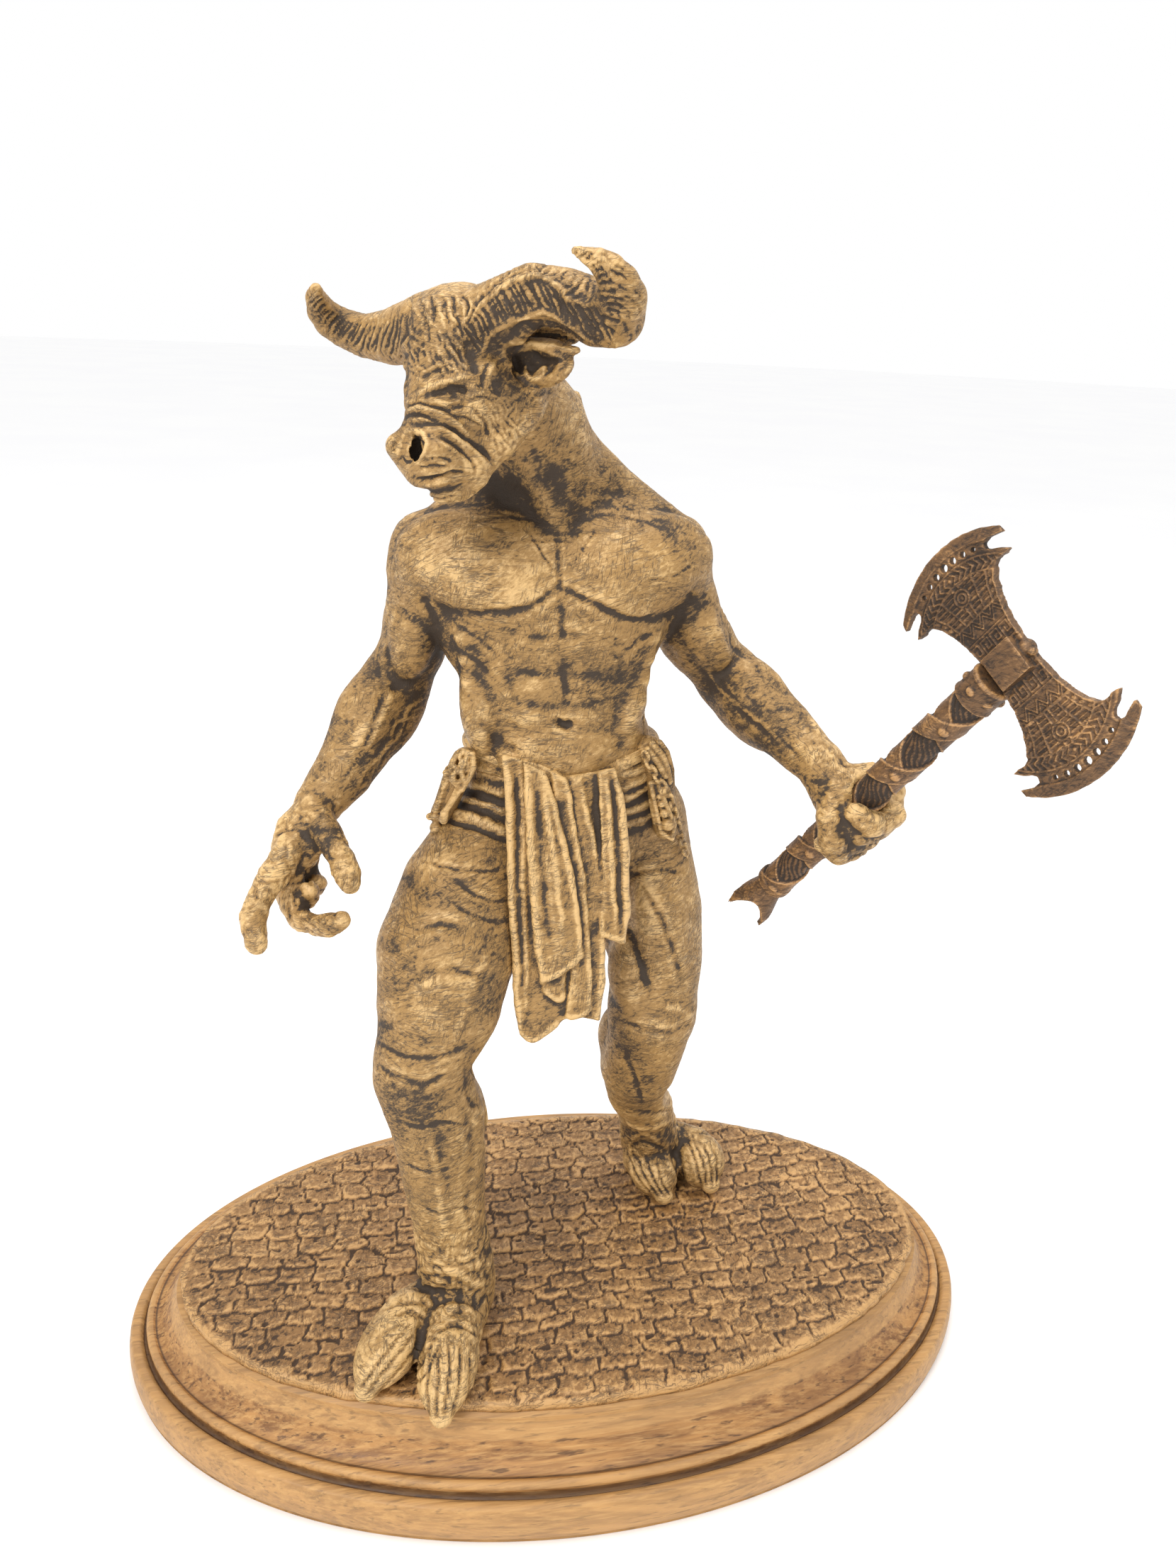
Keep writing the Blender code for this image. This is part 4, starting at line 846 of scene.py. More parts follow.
def model_head():
    """A bull's head with a heavy brow, a short broad muzzle, folded ears and curling horns."""
    corners = np.array([on_head(f, l, u) for f in (-18, 32) for l in (-42, 55) for u in (-34, 32)])
    clay = Clay(corners.min(0) + 6, corners.max(0) - 2, HEAD_GRID)

    def lump(forward, left, up, radii, along=FORWARD, face=UP, blend=2.0, cut=False):
        clay.lump(on_head(forward, left, up), radii, along=along, face=face, blend=blend, cut=cut)

    def limb(*stations, blend=2.0, cut=False, ripple=None):
        clay.limb([(on_head(*station[:3]), station[3]) for station in stations], blend=blend, cut=cut,
                  ripple=ripple)

    lump(-2, 0, 3, (14.5, 13.5, 13.5), blend=3)
    lump(-2, -4.0, 7.9, (13, 12, 9.7), blend=3)
    limb((-9, 6, 2.6, 8.0), (-10.5, 11.6, 2.8, 5.2), (-10.5, 17.6, 2.8, 4.2), (-10, 23.5, 3.0, 2.8), blend=2)
    limb((5, 0, 7, 9), (13, 0, -2, 7.2), (19, -0.7, -10, 6.9), blend=3)
    limb((17, 0, -13, 8), (20.3, -1.6, -14.2, 7.5), (15, -0.2, -18.6, 7.4), blend=3)
    limb((-10, 0, 0, 12.5), (-12, 4, -8, 10.5), blend=3)
    for side in (-1, 1):
        limb((-3, 8 * side, -10, 8.2), (6, 6 * side, -15, 7.4), (12, 2.5 * side, -19, 6.0), blend=3)
        lump(6, 7.3 * side + 0.7, -5, (11, 6, 9))
        limb((22, 2.2 * side - 1.5, -17, 4.8), (16, 6 * side - 1, -18, 4.0), blend=1.6)
    limb((19.5, -2.3, -23.9, 2.9), (16, 1.5, -24.2, 3.0), (14, 4.5, -22, 3.2), blend=1.8)
    limb((18, 0, -22.5, 4.0), (13, 0, -22.5, 4.4), blend=2)
    limb((12.8, 0, 3.5, 3.0), (13, 6, 1.2, 3.2), (9.5, 11.2, 0.4, 2.6), blend=1.4)
    limb((12.8, 0, 3.5, 3.0), (11, -6.4, 2.4, 2.6), (8.5, -10.0, 3.0, 2.0), blend=1.4)
    for eye in (-6.8, 6.8):
        lump(12.4, eye, -3.2, (3.8, 3.0, 2.3), along=LEFT, blend=0.8, cut=True)
        lump(10.2, eye, -3.4, (2.5, 2.4, 2.0), along=LEFT, blend=0.5)
    for low, mid, high in (((23, -2.6, -9.6, 2.9), (25.5, -6.3, -10.8, 2.9), (22.8, -6.9, -14.8, 2.9)),
                           ((23, 1.6, -9.8, 3.1), (25.3, 4.2, -12, 2.8), (23, 4.9, -15.2, 2.8))):
        limb(low, mid, high, blend=1.4)
    limb((25.5, -0.1, -8.9, 1.0), (25.6, 0.1, -10.6, 1.35), (26.6, -1.0, -12.4, 1.2), blend=0.4, cut=True)
    limb((-2, 9.7, 2.0, 2.4), (-3.5, 15.3, 2.3, 1.7), (-4.5, 22.3, 1.3, 1.5), (-5, 27.2, 0.0, 0.9), blend=1.0)
    lump(-4, 17.4, -2.2, (8.8, 5.2, 3.6), along=LEFT, face=FORWARD, blend=1.5)
    lump(-0.6, 17, -1.6, (6.4, 3.4, 3.2), along=LEFT, face=FORWARD, blend=0.7, cut=True)
    limb((-1.5, 12.5, -3.6, 1.2), (-2.0, 16, -5.0, 1.0), (-2.4, 19.0, -3.0, 0.9), blend=0.8)
    limb((-9, -12, 0, 3.5), (-14, -17, 0, 3.1), (-17, -20, 1, 1.4), blend=1.5)
    ripple = (1.7, 0.2)
    limb((0, -10, 8.7, 7.9), (-2.5, -21.3, 7.2, 6.6), (-4, -31.3, 7.5, 5.2), (-3.5, -37.2, 10, 4.7),
         (-1.5, -39.2, 12.6, 4.3), (1, -39, 15.7, 3.6), (4, -36.9, 19.2, 2.5), (6.5, -33.9, 21.5, 1.5),
         blend=1.4, ripple=ripple)
    limb((0, 9.6, 9.8, 7.8), (-2, 20.4, 13.2, 6.9), (-4, 27.2, 11.3, 6.6), (-4, 34.3, 7.9, 7.1),
         (-2, 40.3, 7.3, 6.4), (1.5, 44.2, 11.2, 5.4), blend=1.4, ripple=ripple)
    limb((-2, 40.3, 7.3, 6.4), (1.5, 44.4, 11.2, 5.4), (3.5, 45.4, 14.5, 4.6), (5.5, 45.0, 17.9, 3.6),
         (7, 43.6, 20.2, 2.6), (8, 41.6, 21.8, 1.8), (9, 39.6, 23, 1.1), blend=0.8, ripple=ripple)
    points, quads = clay.mesh()
    points = smoothed(points, quads, 1)
    points = carve_in_photo(points, quads, FACE_STROKES)
    return points, quads, wash_and_shade_in_photo(points, HEAD_WASH_AND_SHADE)


# Guide lines on the horns and the brow, in the photograph's pixels.
HORN_RIDGE = ((656, 464), (668, 440), (683, 422), (706, 405), (730, 394), (754, 390), (774, 394),
              (789, 408), (801, 421), (816, 428), (839, 430))
HORN_LOWER = ((677, 505), (686, 484), (698, 469), (715, 458), (736, 449), (759, 443), (780, 446),
              (801, 458), (818, 469), (840, 484), (868, 490))
HORN_SKYLINE = ((672, 418), (695, 398), (718, 386), (748, 373), (777, 375), (806, 385), (836, 398))
CURL_INNER = ((804, 358), (818, 366), (833, 378), (839, 393), (845, 411), (846, 428), (849, 445), (846, 462))
CURL_OUTER = ((812, 346), (830, 346), (856, 359), (880, 378), (898, 402), (912, 430), (906, 464), (890, 486))
FAR_HORN_TOP = ((444, 402), (454, 414), (470, 434), (497, 446), (527, 446), (558, 437), (574, 424),
                (584, 412))
FAR_HORN_LOW = ((434, 412), (436, 432), (453, 460), (490, 490), (527, 502), (548, 505), (562, 500),
                (572, 480))
BROW_LEFT = ((596, 412), (584, 440), (574, 470), (566, 500), (570, 530))
BROW_RIGHT = ((664, 418), (668, 436), (654, 464), (652, 496), (656, 524))
CHEEK_LEFT = ((672, 540), (684, 570), (694, 605), (702, 640))
CHEEK_RIGHT = ((700, 545), (716, 570), (730, 600), (740, 625))
NECK_FRONT = ((702, 640), (712, 600), (722, 570), (735, 552))
NECK_BACK = ((868, 660), (840, 620), (822, 580), (812, 545))

# Strokes on the face and the horns, in the same way as the body's.
FACE_STROKES = (
    (0.8, 0.8, HORN_RIDGE),
    (0.4, 0.6, HORN_LOWER),
    (-1.2, 1.2, ((712, 476), (736, 462), (765, 460), (795, 470), (819, 484))),
    (0.7, 0.8, ((711, 488), (732, 482), (756, 484), (784, 489), (820, 495))),
    (0.6, 0.7, ((713, 489), (714, 502), (720, 520))),
    (-1.0, 0.8, ((726, 502), (732, 518), (738, 530))),
    (-0.9, 0.8, ((752, 500), (764, 508), (782, 510), (794, 504))),
    (0.6, 0.5, ((745, 508), (742, 522), (748, 534), (764, 532), (770, 518))),
    (0.5, 0.7, ((809, 502), (801, 520), (780, 540), (756, 549), (733, 545))),
    (0.6, 0.8, ((583, 560), (600, 551), (616, 541), (640, 534), (664, 530))),
    (-0.6, 0.6, ((592, 538), (608, 524), (626, 520))),
    (0.45, 0.5, ((586, 545), (598, 528), (614, 516), (636, 512))),
    (-0.9, 0.9, ((604, 557), (622, 553), (642, 551), (662, 551))),
    (0.5, 0.5, ((626, 556), (638, 553), (650, 556))),
    (0.35, 0.45, ((610, 563), (630, 570), (652, 564))),
    (-0.4, 0.4, ((602, 570), (626, 579), (656, 573))),
    (-0.4, 0.4, ((660, 566), (676, 560), (690, 562))),
    (-0.35, 0.4, ((640, 586), (660, 590), (680, 604))),
    (-0.6, 0.45, ((571, 574), (592, 569), (612, 572), (630, 580), (646, 592))),
    (0.35, 0.5, ((568, 581), (590, 575), (612, 578), (640, 594), (662, 610))),
    (-0.5, 0.4, ((568, 589), (588, 583), (606, 588), (622, 595))),
    (0.35, 0.4, ((576, 597), (592, 591), (612, 594), (632, 600))),
    (-0.9, 0.6, ((590, 600), (606, 595), (624, 599), (640, 607), (656, 617), (676, 631), (690, 645),
                 (697, 658))),
    (0.45, 0.6, ((604, 604), (624, 608), (646, 618), (664, 631), (680, 648), (687, 664))),
    (-0.6, 0.45, ((612, 613), (632, 622), (650, 634), (664, 648), (670, 662), (668, 676))),
    (0.35, 0.45, ((620, 624), (640, 636), (654, 650), (660, 664))),
    (-2.6, 1.0, ((592, 618), (590, 632), (580, 647))),
    (0.7, 0.6, ((584, 615), (592, 610), (600, 620), (599, 636), (590, 650))),
    (0.6, 0.6, ((562, 642), (567, 622), (579, 608), (594, 608), (601, 622), (598, 640))),
    (-0.9, 0.6, ((556, 640), (553, 630), (558, 622))),
    (-0.4, 0.4, ((604, 648), (622, 646), (640, 652))),
    (-0.4, 0.4, ((590, 660), (610, 658), (632, 656))),
    (-1.3, 0.55, ((585, 672), (600, 677), (620, 673), (642, 666), (662, 668))),
    (0.4, 0.7, ((588, 683), (610, 684), (632, 680), (655, 675))),
    (-0.5, 0.45, ((592, 692), (615, 694), (640, 688), (658, 680))),
    (-0.4, 0.4, ((602, 704), (622, 704), (642, 700))),
    (-0.5, 1.2, ((664, 474), (662, 492), (666, 512), (672, 530))),
    (-0.5, 0.6, ((690, 510), (682, 528), (680, 548))),
    (0.4, 0.6, ((700, 505), (692, 524), (690, 545))),
    (-0.5, 0.8, ((698, 660), (725, 640), (748, 612))),
    (-0.35, 0.5, ((668, 575), (684, 596), (690, 620))),
) + (
    ribs(HORN_RIDGE, HORN_LOWER, 25, -0.5, 0.33, (0.02, 0.9), 1)
    + hatching(HORN_RIDGE, HORN_LOWER, 4, 6, -0.22, 0.3, 0.0, 0.9, 7)
    + hatching(HORN_RIDGE, HORN_SKYLINE, 3, 16, -0.35, 0.3, 0.5, 0.9, 2)
    + ribs(CURL_INNER, CURL_OUTER, 13, -0.55, 0.38, (0.02, 0.5), 3)
    + hatching(CURL_INNER, CURL_OUTER, 4, 8, -0.3, 0.35, 0.1, 0.6, 8)
    + ribs(FAR_HORN_TOP, FAR_HORN_LOW, 26, -0.45, 0.35, (0.15, 0.95), 4)
    + hatching(BROW_LEFT, BROW_RIGHT, 10, 4, -0.4, 0.38, 0.10, 0.85, 5)
    + hatching(BROW_LEFT, BROW_RIGHT, 9, 5, 0.3, 0.4, 0.14, 0.7, 6)
    + hatching(CHEEK_LEFT, CHEEK_RIGHT, 7, 4, -0.22, 0.35, 0.1, 0.6, 12)
    + hatching(NECK_FRONT, NECK_BACK, 9, 4, -0.25, 0.4, 0.05, 0.7, 11)
)

# Where the dark wash lies thick on the head, with painted shade under the horns, in the same way.
HEAD_WASH_AND_SHADE = (
    (0.9, 0.7, ((592, 620), (590, 632), (585, 640))),
    (1.2, 4.5, ((690, 470), (718, 436), (756, 420), (795, 432), (840, 462))),
    (1.1, 4.0, ((452, 440), (486, 468), (524, 478), (560, 470))),
    (0.9, 3.5, ((842, 390), (862, 420), (866, 455))),
    (1.0, 2.0, ((606, 560), (626, 553), (652, 552))),
    (0.6, 3.0, ((600, 522), (615, 515), (630, 520))),
    (0.8, 3.4, ((655, 478), (662, 500), (672, 525))),
    (0.8, 1.4, ((583, 603), (601, 598), (621, 603), (639, 609), (656, 617), (677, 629), (692, 644))),
    (0.7, 2.6, ((606, 622), (622, 632), (640, 640))),
    (0.5, 2.6, ((574, 590), (600, 582), (626, 586))),
    (0.8, 4.5, ((684, 476), (716, 430), (770, 418), (815, 445), (850, 465))),
    (0.7, 4.0, ((858, 400), (880, 430), (880, 465))),
    (0.9, 5.0, ((470, 460), (510, 478), (548, 482), (566, 462))),
    (0.7, 3.2, ((440, 404), (446, 425), (460, 442))),
    (1.0, 2.6, ((712, 473), (745, 462), (790, 466), (819, 478))),
    (1.0, 3.0, ((728, 508), (745, 518), (758, 514))),
    (0.6, 3.0, ((780, 505), (790, 522), (770, 540))),
    (0.8, 3.0, ((702, 545), (716, 535), (725, 545))),
    (0.5, 2.4, ((714, 556), (722, 566), (742, 560))),
    (0.7, 2.6, ((592, 690), (620, 690), (650, 684))),
    (0.6, 3.4, ((585, 500), (576, 520), (574, 545))),
)


# The loincloth, the belt and what hangs from it.

BELT_MIDDLE = (-6.3, -4.0, 189.0)
BELT_HALF_WIDTH = 27.7
BELT_HALF_DEPTH = 20.5
BELT_DIP = 4.5
BELT_RADIUS = 2.3
BELT_STEPS = 48

# Hanging panels as the photograph outlines them: how far each stands proud, its thickness and its outline.
PANELS = (
    (0.0, 2.6, ((709, 1064), (760, 1076), (800, 1094), (840, 1088), (869, 1082), (884, 1190), (885, 1290),
                (881, 1330),
                (850, 1320), (850, 1370), (846, 1440), (803, 1432), (792, 1440), (775, 1455), (752, 1469),
                (735, 1462),
                (725, 1418), (719, 1250), (712, 1100))),
    (1.2, 2.0, ((708, 1064), (735, 1070), (741, 1150), (741, 1250), (745, 1370), (744, 1420), (733, 1455),
                (726, 1400), (719, 1253), (711, 1100))),
    (3.4, 2.2, ((738, 1074), (770, 1088), (790, 1160), (807, 1237), (817, 1303), (822, 1350), (800, 1367),
                (763, 1387), (759, 1353), (752, 1280), (746, 1203), (743, 1130))),
    (1.6, 2.0, ((763, 1350), (798, 1350), (797, 1405), (788, 1412), (766, 1398))),
    (1.9, 2.0, ((777, 1088), (800, 1098), (809, 1163), (820, 1227), (827, 1287), (834, 1424), (820, 1433),
                (797, 1437), (806, 1370), (800, 1250))),
    (1.0, 2.0, ((806, 1096), (820, 1096), (831, 1155), (839, 1190), (846, 1253), (850, 1370), (844, 1440),
                (836, 1432), (831, 1290), (822, 1227))),
    (2.0, 2.0, ((843, 1088), (868, 1082), (878, 1137), (884, 1193), (885, 1280), (882, 1331), (849, 1317),
                (847, 1253))),
)

# Raised hems and fold edges, and the dark valleys beside them.
CLOTH_STROKES = (
    (0.7, 0.8, ((710, 1068), (717, 1093), (720, 1153), (720, 1253), (727, 1340), (729, 1413), (734, 1458))),
    (-0.9, 0.9, ((727, 1075), (731, 1150), (731, 1250), (736, 1350), (738, 1420))),
    (0.8, 0.8, ((738, 1080), (745, 1130), (748, 1203), (753, 1280), (761, 1353), (764, 1385))),
    (-0.8, 1.3, ((757, 1095), (762, 1180), (768, 1260), (776, 1340))),
    (0.6, 0.9, ((767, 1105), (776, 1170), (787, 1250), (795, 1330))),
    (0.8, 0.8, ((772, 1098), (788, 1163), (805, 1237), (815, 1303), (820, 1348))),
    (0.8, 0.8, ((820, 1350), (800, 1366), (765, 1386))),
    (0.7, 0.7, ((765, 1397), (788, 1411), (796, 1400))),
    (0.8, 0.8, ((780, 1093), (799, 1108), (808, 1163), (820, 1227), (828, 1287), (832, 1420))),
    (0.7, 0.8, ((798, 1436), (820, 1431), (833, 1424))),
    (0.8, 0.8, ((818, 1098), (829, 1153), (838, 1187), (846, 1253), (849, 1337), (849, 1372), (845, 1438))),
    (-1.0, 0.9, ((838, 1094), (843, 1170), (847, 1253), (849, 1310))),
    (0.7, 0.8, ((856, 1088), (859, 1153), (864, 1237), (870, 1318))),
    (-0.8, 1.0, ((863, 1090), (869, 1153), (874, 1237), (877, 1318))),
    (0.8, 0.8, ((867, 1088), (877, 1137), (883, 1193), (884, 1280), (881, 1330))),
    (0.7, 0.7, ((849, 1317), (867, 1324), (881, 1331))),
    (0.8, 0.8, ((735, 1461), (752, 1468), (775, 1454), (792, 1438))),
)


def outline_distance(spots, outline):
    """Signed distance from spots to a closed outline, less than zero inside."""
    outline = np.array(outline, float)
    best = np.full(len(spots), np.inf)
    inside = np.zeros(len(spots), bool)
    for start, end in zip(outline, np.roll(outline, -1, axis=0)):
        step = end - start
        share = np.clip((spots - start) @ step / (step @ step), 0, 1)
        best = np.minimum(best, np.linalg.norm(spots - start - share[:, None] * step, axis=1))
        crosses = (start[1] > spots[:, 1]) != (end[1] > spots[:, 1])
        if start[1] != end[1]:
            at = start[0] + (spots[:, 1] - start[1]) * step[0] / step[1]
            inside ^= crosses & (spots[:, 0] < at)
    return np.where(inside, -best, best)


def cloth_front(x, z):
    """How far forward the hanging cloth lies: less than zero is towards the viewer."""
    drop = np.clip((190 - z) / 75, 0, 1.1)
    bulge = 1 - ((x + 10) / 24) ** 2
    return -25.5 - 13.5 * drop ** 0.85 - 3.0 * bulge * drop


def hang_panel(clay, lift, thickness, outline):
    """A panel whose outline is given in the photograph's pixels."""
    slices, x, y, z = clay.window(np.array((-40.0, -54.0, 98.0)), np.array((24.0, -16.0, 200.0)))
    x, y, z = (part.astype(float) for part in np.broadcast_arrays(x, y, z))
    spots = np.stack((x.ravel(), y.ravel(), z.ravel()), axis=1)
    depth = np.abs(spots[:, 1] - cloth_front(spots[:, 0], spots[:, 2]) + lift) - thickness / 2
    distance = np.full(len(spots), FAR)
    near = depth < 3
    pixels, far = photo_pixels(spots[near])
    across = outline_distance(pixels, outline) * far / FOCAL_PIXELS
    distance[near] = np.maximum(across, depth[near])
    clay.merge(slices, distance.reshape(x.shape).astype(np.float32), 0.7)


def model_loincloth():
    """The rolled belt round the hips and the panels that hang from it."""
    clay = Clay((-44, -56, 98), (36, 30, 200), CLOTH_GRID)
    belt = []
    for step in range(BELT_STEPS + 1):
        turn = 2 * math.pi * step / BELT_STEPS
        dip = BELT_DIP * max(0.0, -math.sin(turn)) ** 6
        across = BELT_MIDDLE[0] + BELT_HALF_WIDTH * math.cos(turn)
        back = BELT_MIDDLE[1] + BELT_HALF_DEPTH * math.sin(turn)
        belt.append(((across, back, BELT_MIDDLE[2] - dip), BELT_RADIUS))
    clay.limb(belt, blend=0.8)
    for lift, thickness, outline in PANELS:
        hang_panel(clay, lift, thickness, outline)
    points, quads = clay.mesh()
    points = smoothed(points, quads, 3)
    points = carve_in_photo(points, quads, CLOTH_STROKES)
    return smoothed(points, quads, 2, 0.4), quads


RING_STEPS = 12


def wire(clay, radius, *spots):
    """A round bar through pixels of the photograph, each with its depth."""
    clay.limb([(on_plane(*spot), radius) for spot in spots], blend=0.3)


def ring(clay, middle, size, radius):
    """A ring facing the viewer, round a pixel with its depth; size is in pixels."""
    across, down, depth = middle
    turns = [2 * math.pi * step / RING_STEPS for step in range(RING_STEPS + 1)]
    spots = [(across + size * math.cos(turn), down + 1.2 * size * math.sin(turn), depth) for turn in turns]
    wire(clay, radius, *spots)


def chain(clay, path, pitch, radius):
    """Oval links end to end along a path of pixels with depths, each turned a quarter from the one before."""
    path = np.array([on_plane(*spot) for spot in path])
    gone = np.concatenate(([0], np.cumsum(np.linalg.norm(np.diff(path, axis=0), axis=1))))
    clay.limb([(spot, 0.6 * radius) for spot in path], blend=0.3)
    for number in range(int(gone[-1] / pitch)):
        low, high = (np.array([np.interp(share * pitch, gone, path[:, axis]) for axis in range(3)])
                     for share in (number - 0.15, number + 1.15))
        along = (high - low) / 2
        flat = unit(np.cross(along, ONWARD))
        side = unit(flat + ONWARD) if number % 2 else unit(flat - ONWARD)
        middle = (low + high) / 2
        link = []
        for step in range(RING_STEPS + 1):
            turn = 2 * math.pi * step / RING_STEPS
            link.append((middle + along * math.cos(turn) + side * 0.36 * pitch * math.sin(turn), radius))
        clay.limb(link, blend=0.2)


def model_hip_chain():
    """The chain, the beaded pendant in its long frame and the knotted leather on the figure's left hip."""
    clay = Clay((8, -28, 142), (42, 2, 196), ORNAMENT_GRID)
    wire(clay, 4.0, (914, 1056, -17), (926, 1082, -17.4), (931, 1110, -17.2), (934, 1136, -16.5),
         (940, 1166, -15.5))
    for bend in (((930, 1048, -19.5), (940, 1062, -19), (946, 1086, -18.5), (947, 1108, -18)),
                 ((920, 1050, -21.3), (934, 1066, -21), (941, 1086, -20.6), (944, 1102, -20)),
                 ((914, 1058, -21.8), (928, 1076, -21.6), (938, 1094, -21))):
        wire(clay, 1.15, *bend)
    path = ((908, 1060, -23), (915, 1078, -22.5), (926, 1096, -22), (939, 1112, -21.5), (948, 1132, -20.5),
            (953, 1152, -19), (958, 1172, -16.5), (963, 1190, -13), (970, 1210, -9.5))
    chain(clay, path, 2.9, 0.6)
    for rail in (((918, 1105, -21.5), (924, 1136, -21.8), (929, 1158, -21.8), (933, 1174, -21.5)),
                 ((927, 1102, -21.5), (937, 1128, -22), (945, 1148, -22), (951, 1164, -21.5))):
        wire(clay, 0.75, *rail)
    wire(clay, 0.75, (933, 1174, -21.5), (948, 1184, -21.2), (951, 1164, -21.5))
    wire(clay, 0.75, (918, 1105, -21.5), (927, 1102, -21.5))
    wire(clay, 1.0, (924, 1108, -20.6), (931, 1132, -20.8), (941, 1166, -20.4))
    wire(clay, 0.9, (919, 1130, -21), (922, 1146, -21.2), (925, 1160, -21))
    for across, down, size in ((930.5, 1124, 0.9), (933.5, 1134, 1.15), (937.5, 1147, 1.5), (942, 1163, 2.0)):
        clay.lump(on_plane(across, down, -21.8), (size, size, size), blend=0.2)
    points, quads = clay.mesh()
    return smoothed(points, quads, 1), quads


def model_hip_openwork():
    """The openwork clasp, its straps and the beaded tassel on the figure's right hip."""
    clay = Clay((-56, -28, 152), (-28, 2, 196), ORNAMENT_GRID)
    wire(clay, 3.4, (656, 1070, -12.5), (646, 1094, -13), (637, 1118, -12.5), (624, 1146, -11.5))
    wire(clay, 0.95, (655, 1060, -17.5), (667, 1064, -18.5), (668, 1082, -19), (662, 1096, -19),
         (652, 1113, -18.6))
    wire(clay, 0.95, (655, 1060, -17.5), (645, 1063, -16.5), (639, 1074, -16.5), (636, 1088, -17),
         (641, 1103, -18), (652, 1113, -18.6))
    ring(clay, (646, 1096, -18.6), 6.5, 0.8)
    ring(clay, (655, 1080, -18.4), 5.5, 0.8)
    ring(clay, (653, 1067, -17.9), 4.5, 0.7)
    wire(clay, 0.8, (660, 1066, -18.4), (656, 1074, -18.6), (650, 1087, -18.8), (654, 1098, -18.9),
         (656, 1106, -18.7))
    wire(clay, 0.8, (640, 1080, -17.4), (647, 1086, -18.2), (640, 1092, -18), (637, 1100, -17.6))
    wire(clay, 0.9, (650, 1112, -18.6), (645, 1120, -18.2), (638, 1130, -18), (630, 1142, -18.4),
         (626, 1154, -18.6))
    wire(clay, 1.3, (627, 1148, -18.4), (626, 1157, -18.4))
    wire(clay, 0.7, (645, 1112, -18), (640, 1122, -18), (634, 1134, -18))
    wire(clay, 1.2, (640, 1074, -15.5), (632, 1096, -14.8), (624, 1120, -14.2), (615, 1142, -14.2))
    wire(clay, 1.4, (634, 1086, -14.5), (628, 1106, -13.8), (620, 1130, -13.2), (614, 1148, -13))
    wire(clay, 1.0, (633, 1089, -16), (629, 1090, -16.5))
    wire(clay, 1.1, (606, 1152, -13.6), (613, 1152, -14.4), (622, 1155, -15))
    clay.lump(on_plane(615, 1168, -13.6), (1.9, 1.9, 2.2), blend=0.5)
    wire(clay, 1.3, (616, 1156, -14), (615, 1168, -13.6), (610, 1182, -13), (607, 1194, -12))
    points, quads = clay.mesh()
    return smoothed(points, quads, 1), quads


# The axe, worked out along the haft, across it and through the blades.

BLADE_REACH = 33.8
BLADE_HORN = 18.3
BLADE_ARC_RADIUS = 27.6
SOCKET_SIDE = 9.4
SOCKET_DEPTH = 7.4
WRAP_PITCH = 20.0
WRAP_HALF_WIDTH = 3.7
HAFT_TOP = 60.5
HAFT_FOOT = -48.0
COLLAR_LENGTH = 8.0
SPIKE_LENGTH = 7.5


def haft_frame():
    """Unit vectors across the haft in the blades' plane and through the blades."""
    across = unit(BLADE_LEAN - HAFT_DIRECTION * np.dot(BLADE_LEAN, HAFT_DIRECTION))
    return across, np.cross(HAFT_DIRECTION, across)


ACROSS_HAFT, THROUGH_BLADE = haft_frame()


def from_haft(points, start):
    """Points along, across and through, moved to the figure's numbers from a start up the haft."""
    turn = np.stack((HAFT_DIRECTION, ACROSS_HAFT, THROUGH_BLADE))
    return GRIP + HAFT_DIRECTION * start + points @ turn


def ridge(value, middle, half_width):
    """1 on a line and 0 away from it."""
    return np.clip(1.6 - 1.6 * np.abs(value - middle) / half_width, 0, 1)


def blade_side():
    """Half of one blade's outline, out from the socket: along the haft and away from it."""
    side = [(6.2, 3.0), (6.4, 7.0), (7.0, 10.5), (8.2, 14.5), (9.6, 17.8), (11.6, 20.4), (13.2, 21.0),
            (15.2, 20.6),
            (17.2, 20.8), (15.2, 22.8), (13.2, 23.8), (12.2, 25.0), (12.6, 26.3), (14.4, 26.6), (16.6, 25.6),
            (BLADE_HORN, 24.8)]
    middle = BLADE_REACH - BLADE_ARC_RADIUS
    start = math.asin(BLADE_HORN / BLADE_ARC_RADIUS)
    arc = [(BLADE_ARC_RADIUS * math.sin(turn), middle + BLADE_ARC_RADIUS * math.cos(turn))
           for turn in np.linspace(start, 0, 14)]
    return side + arc


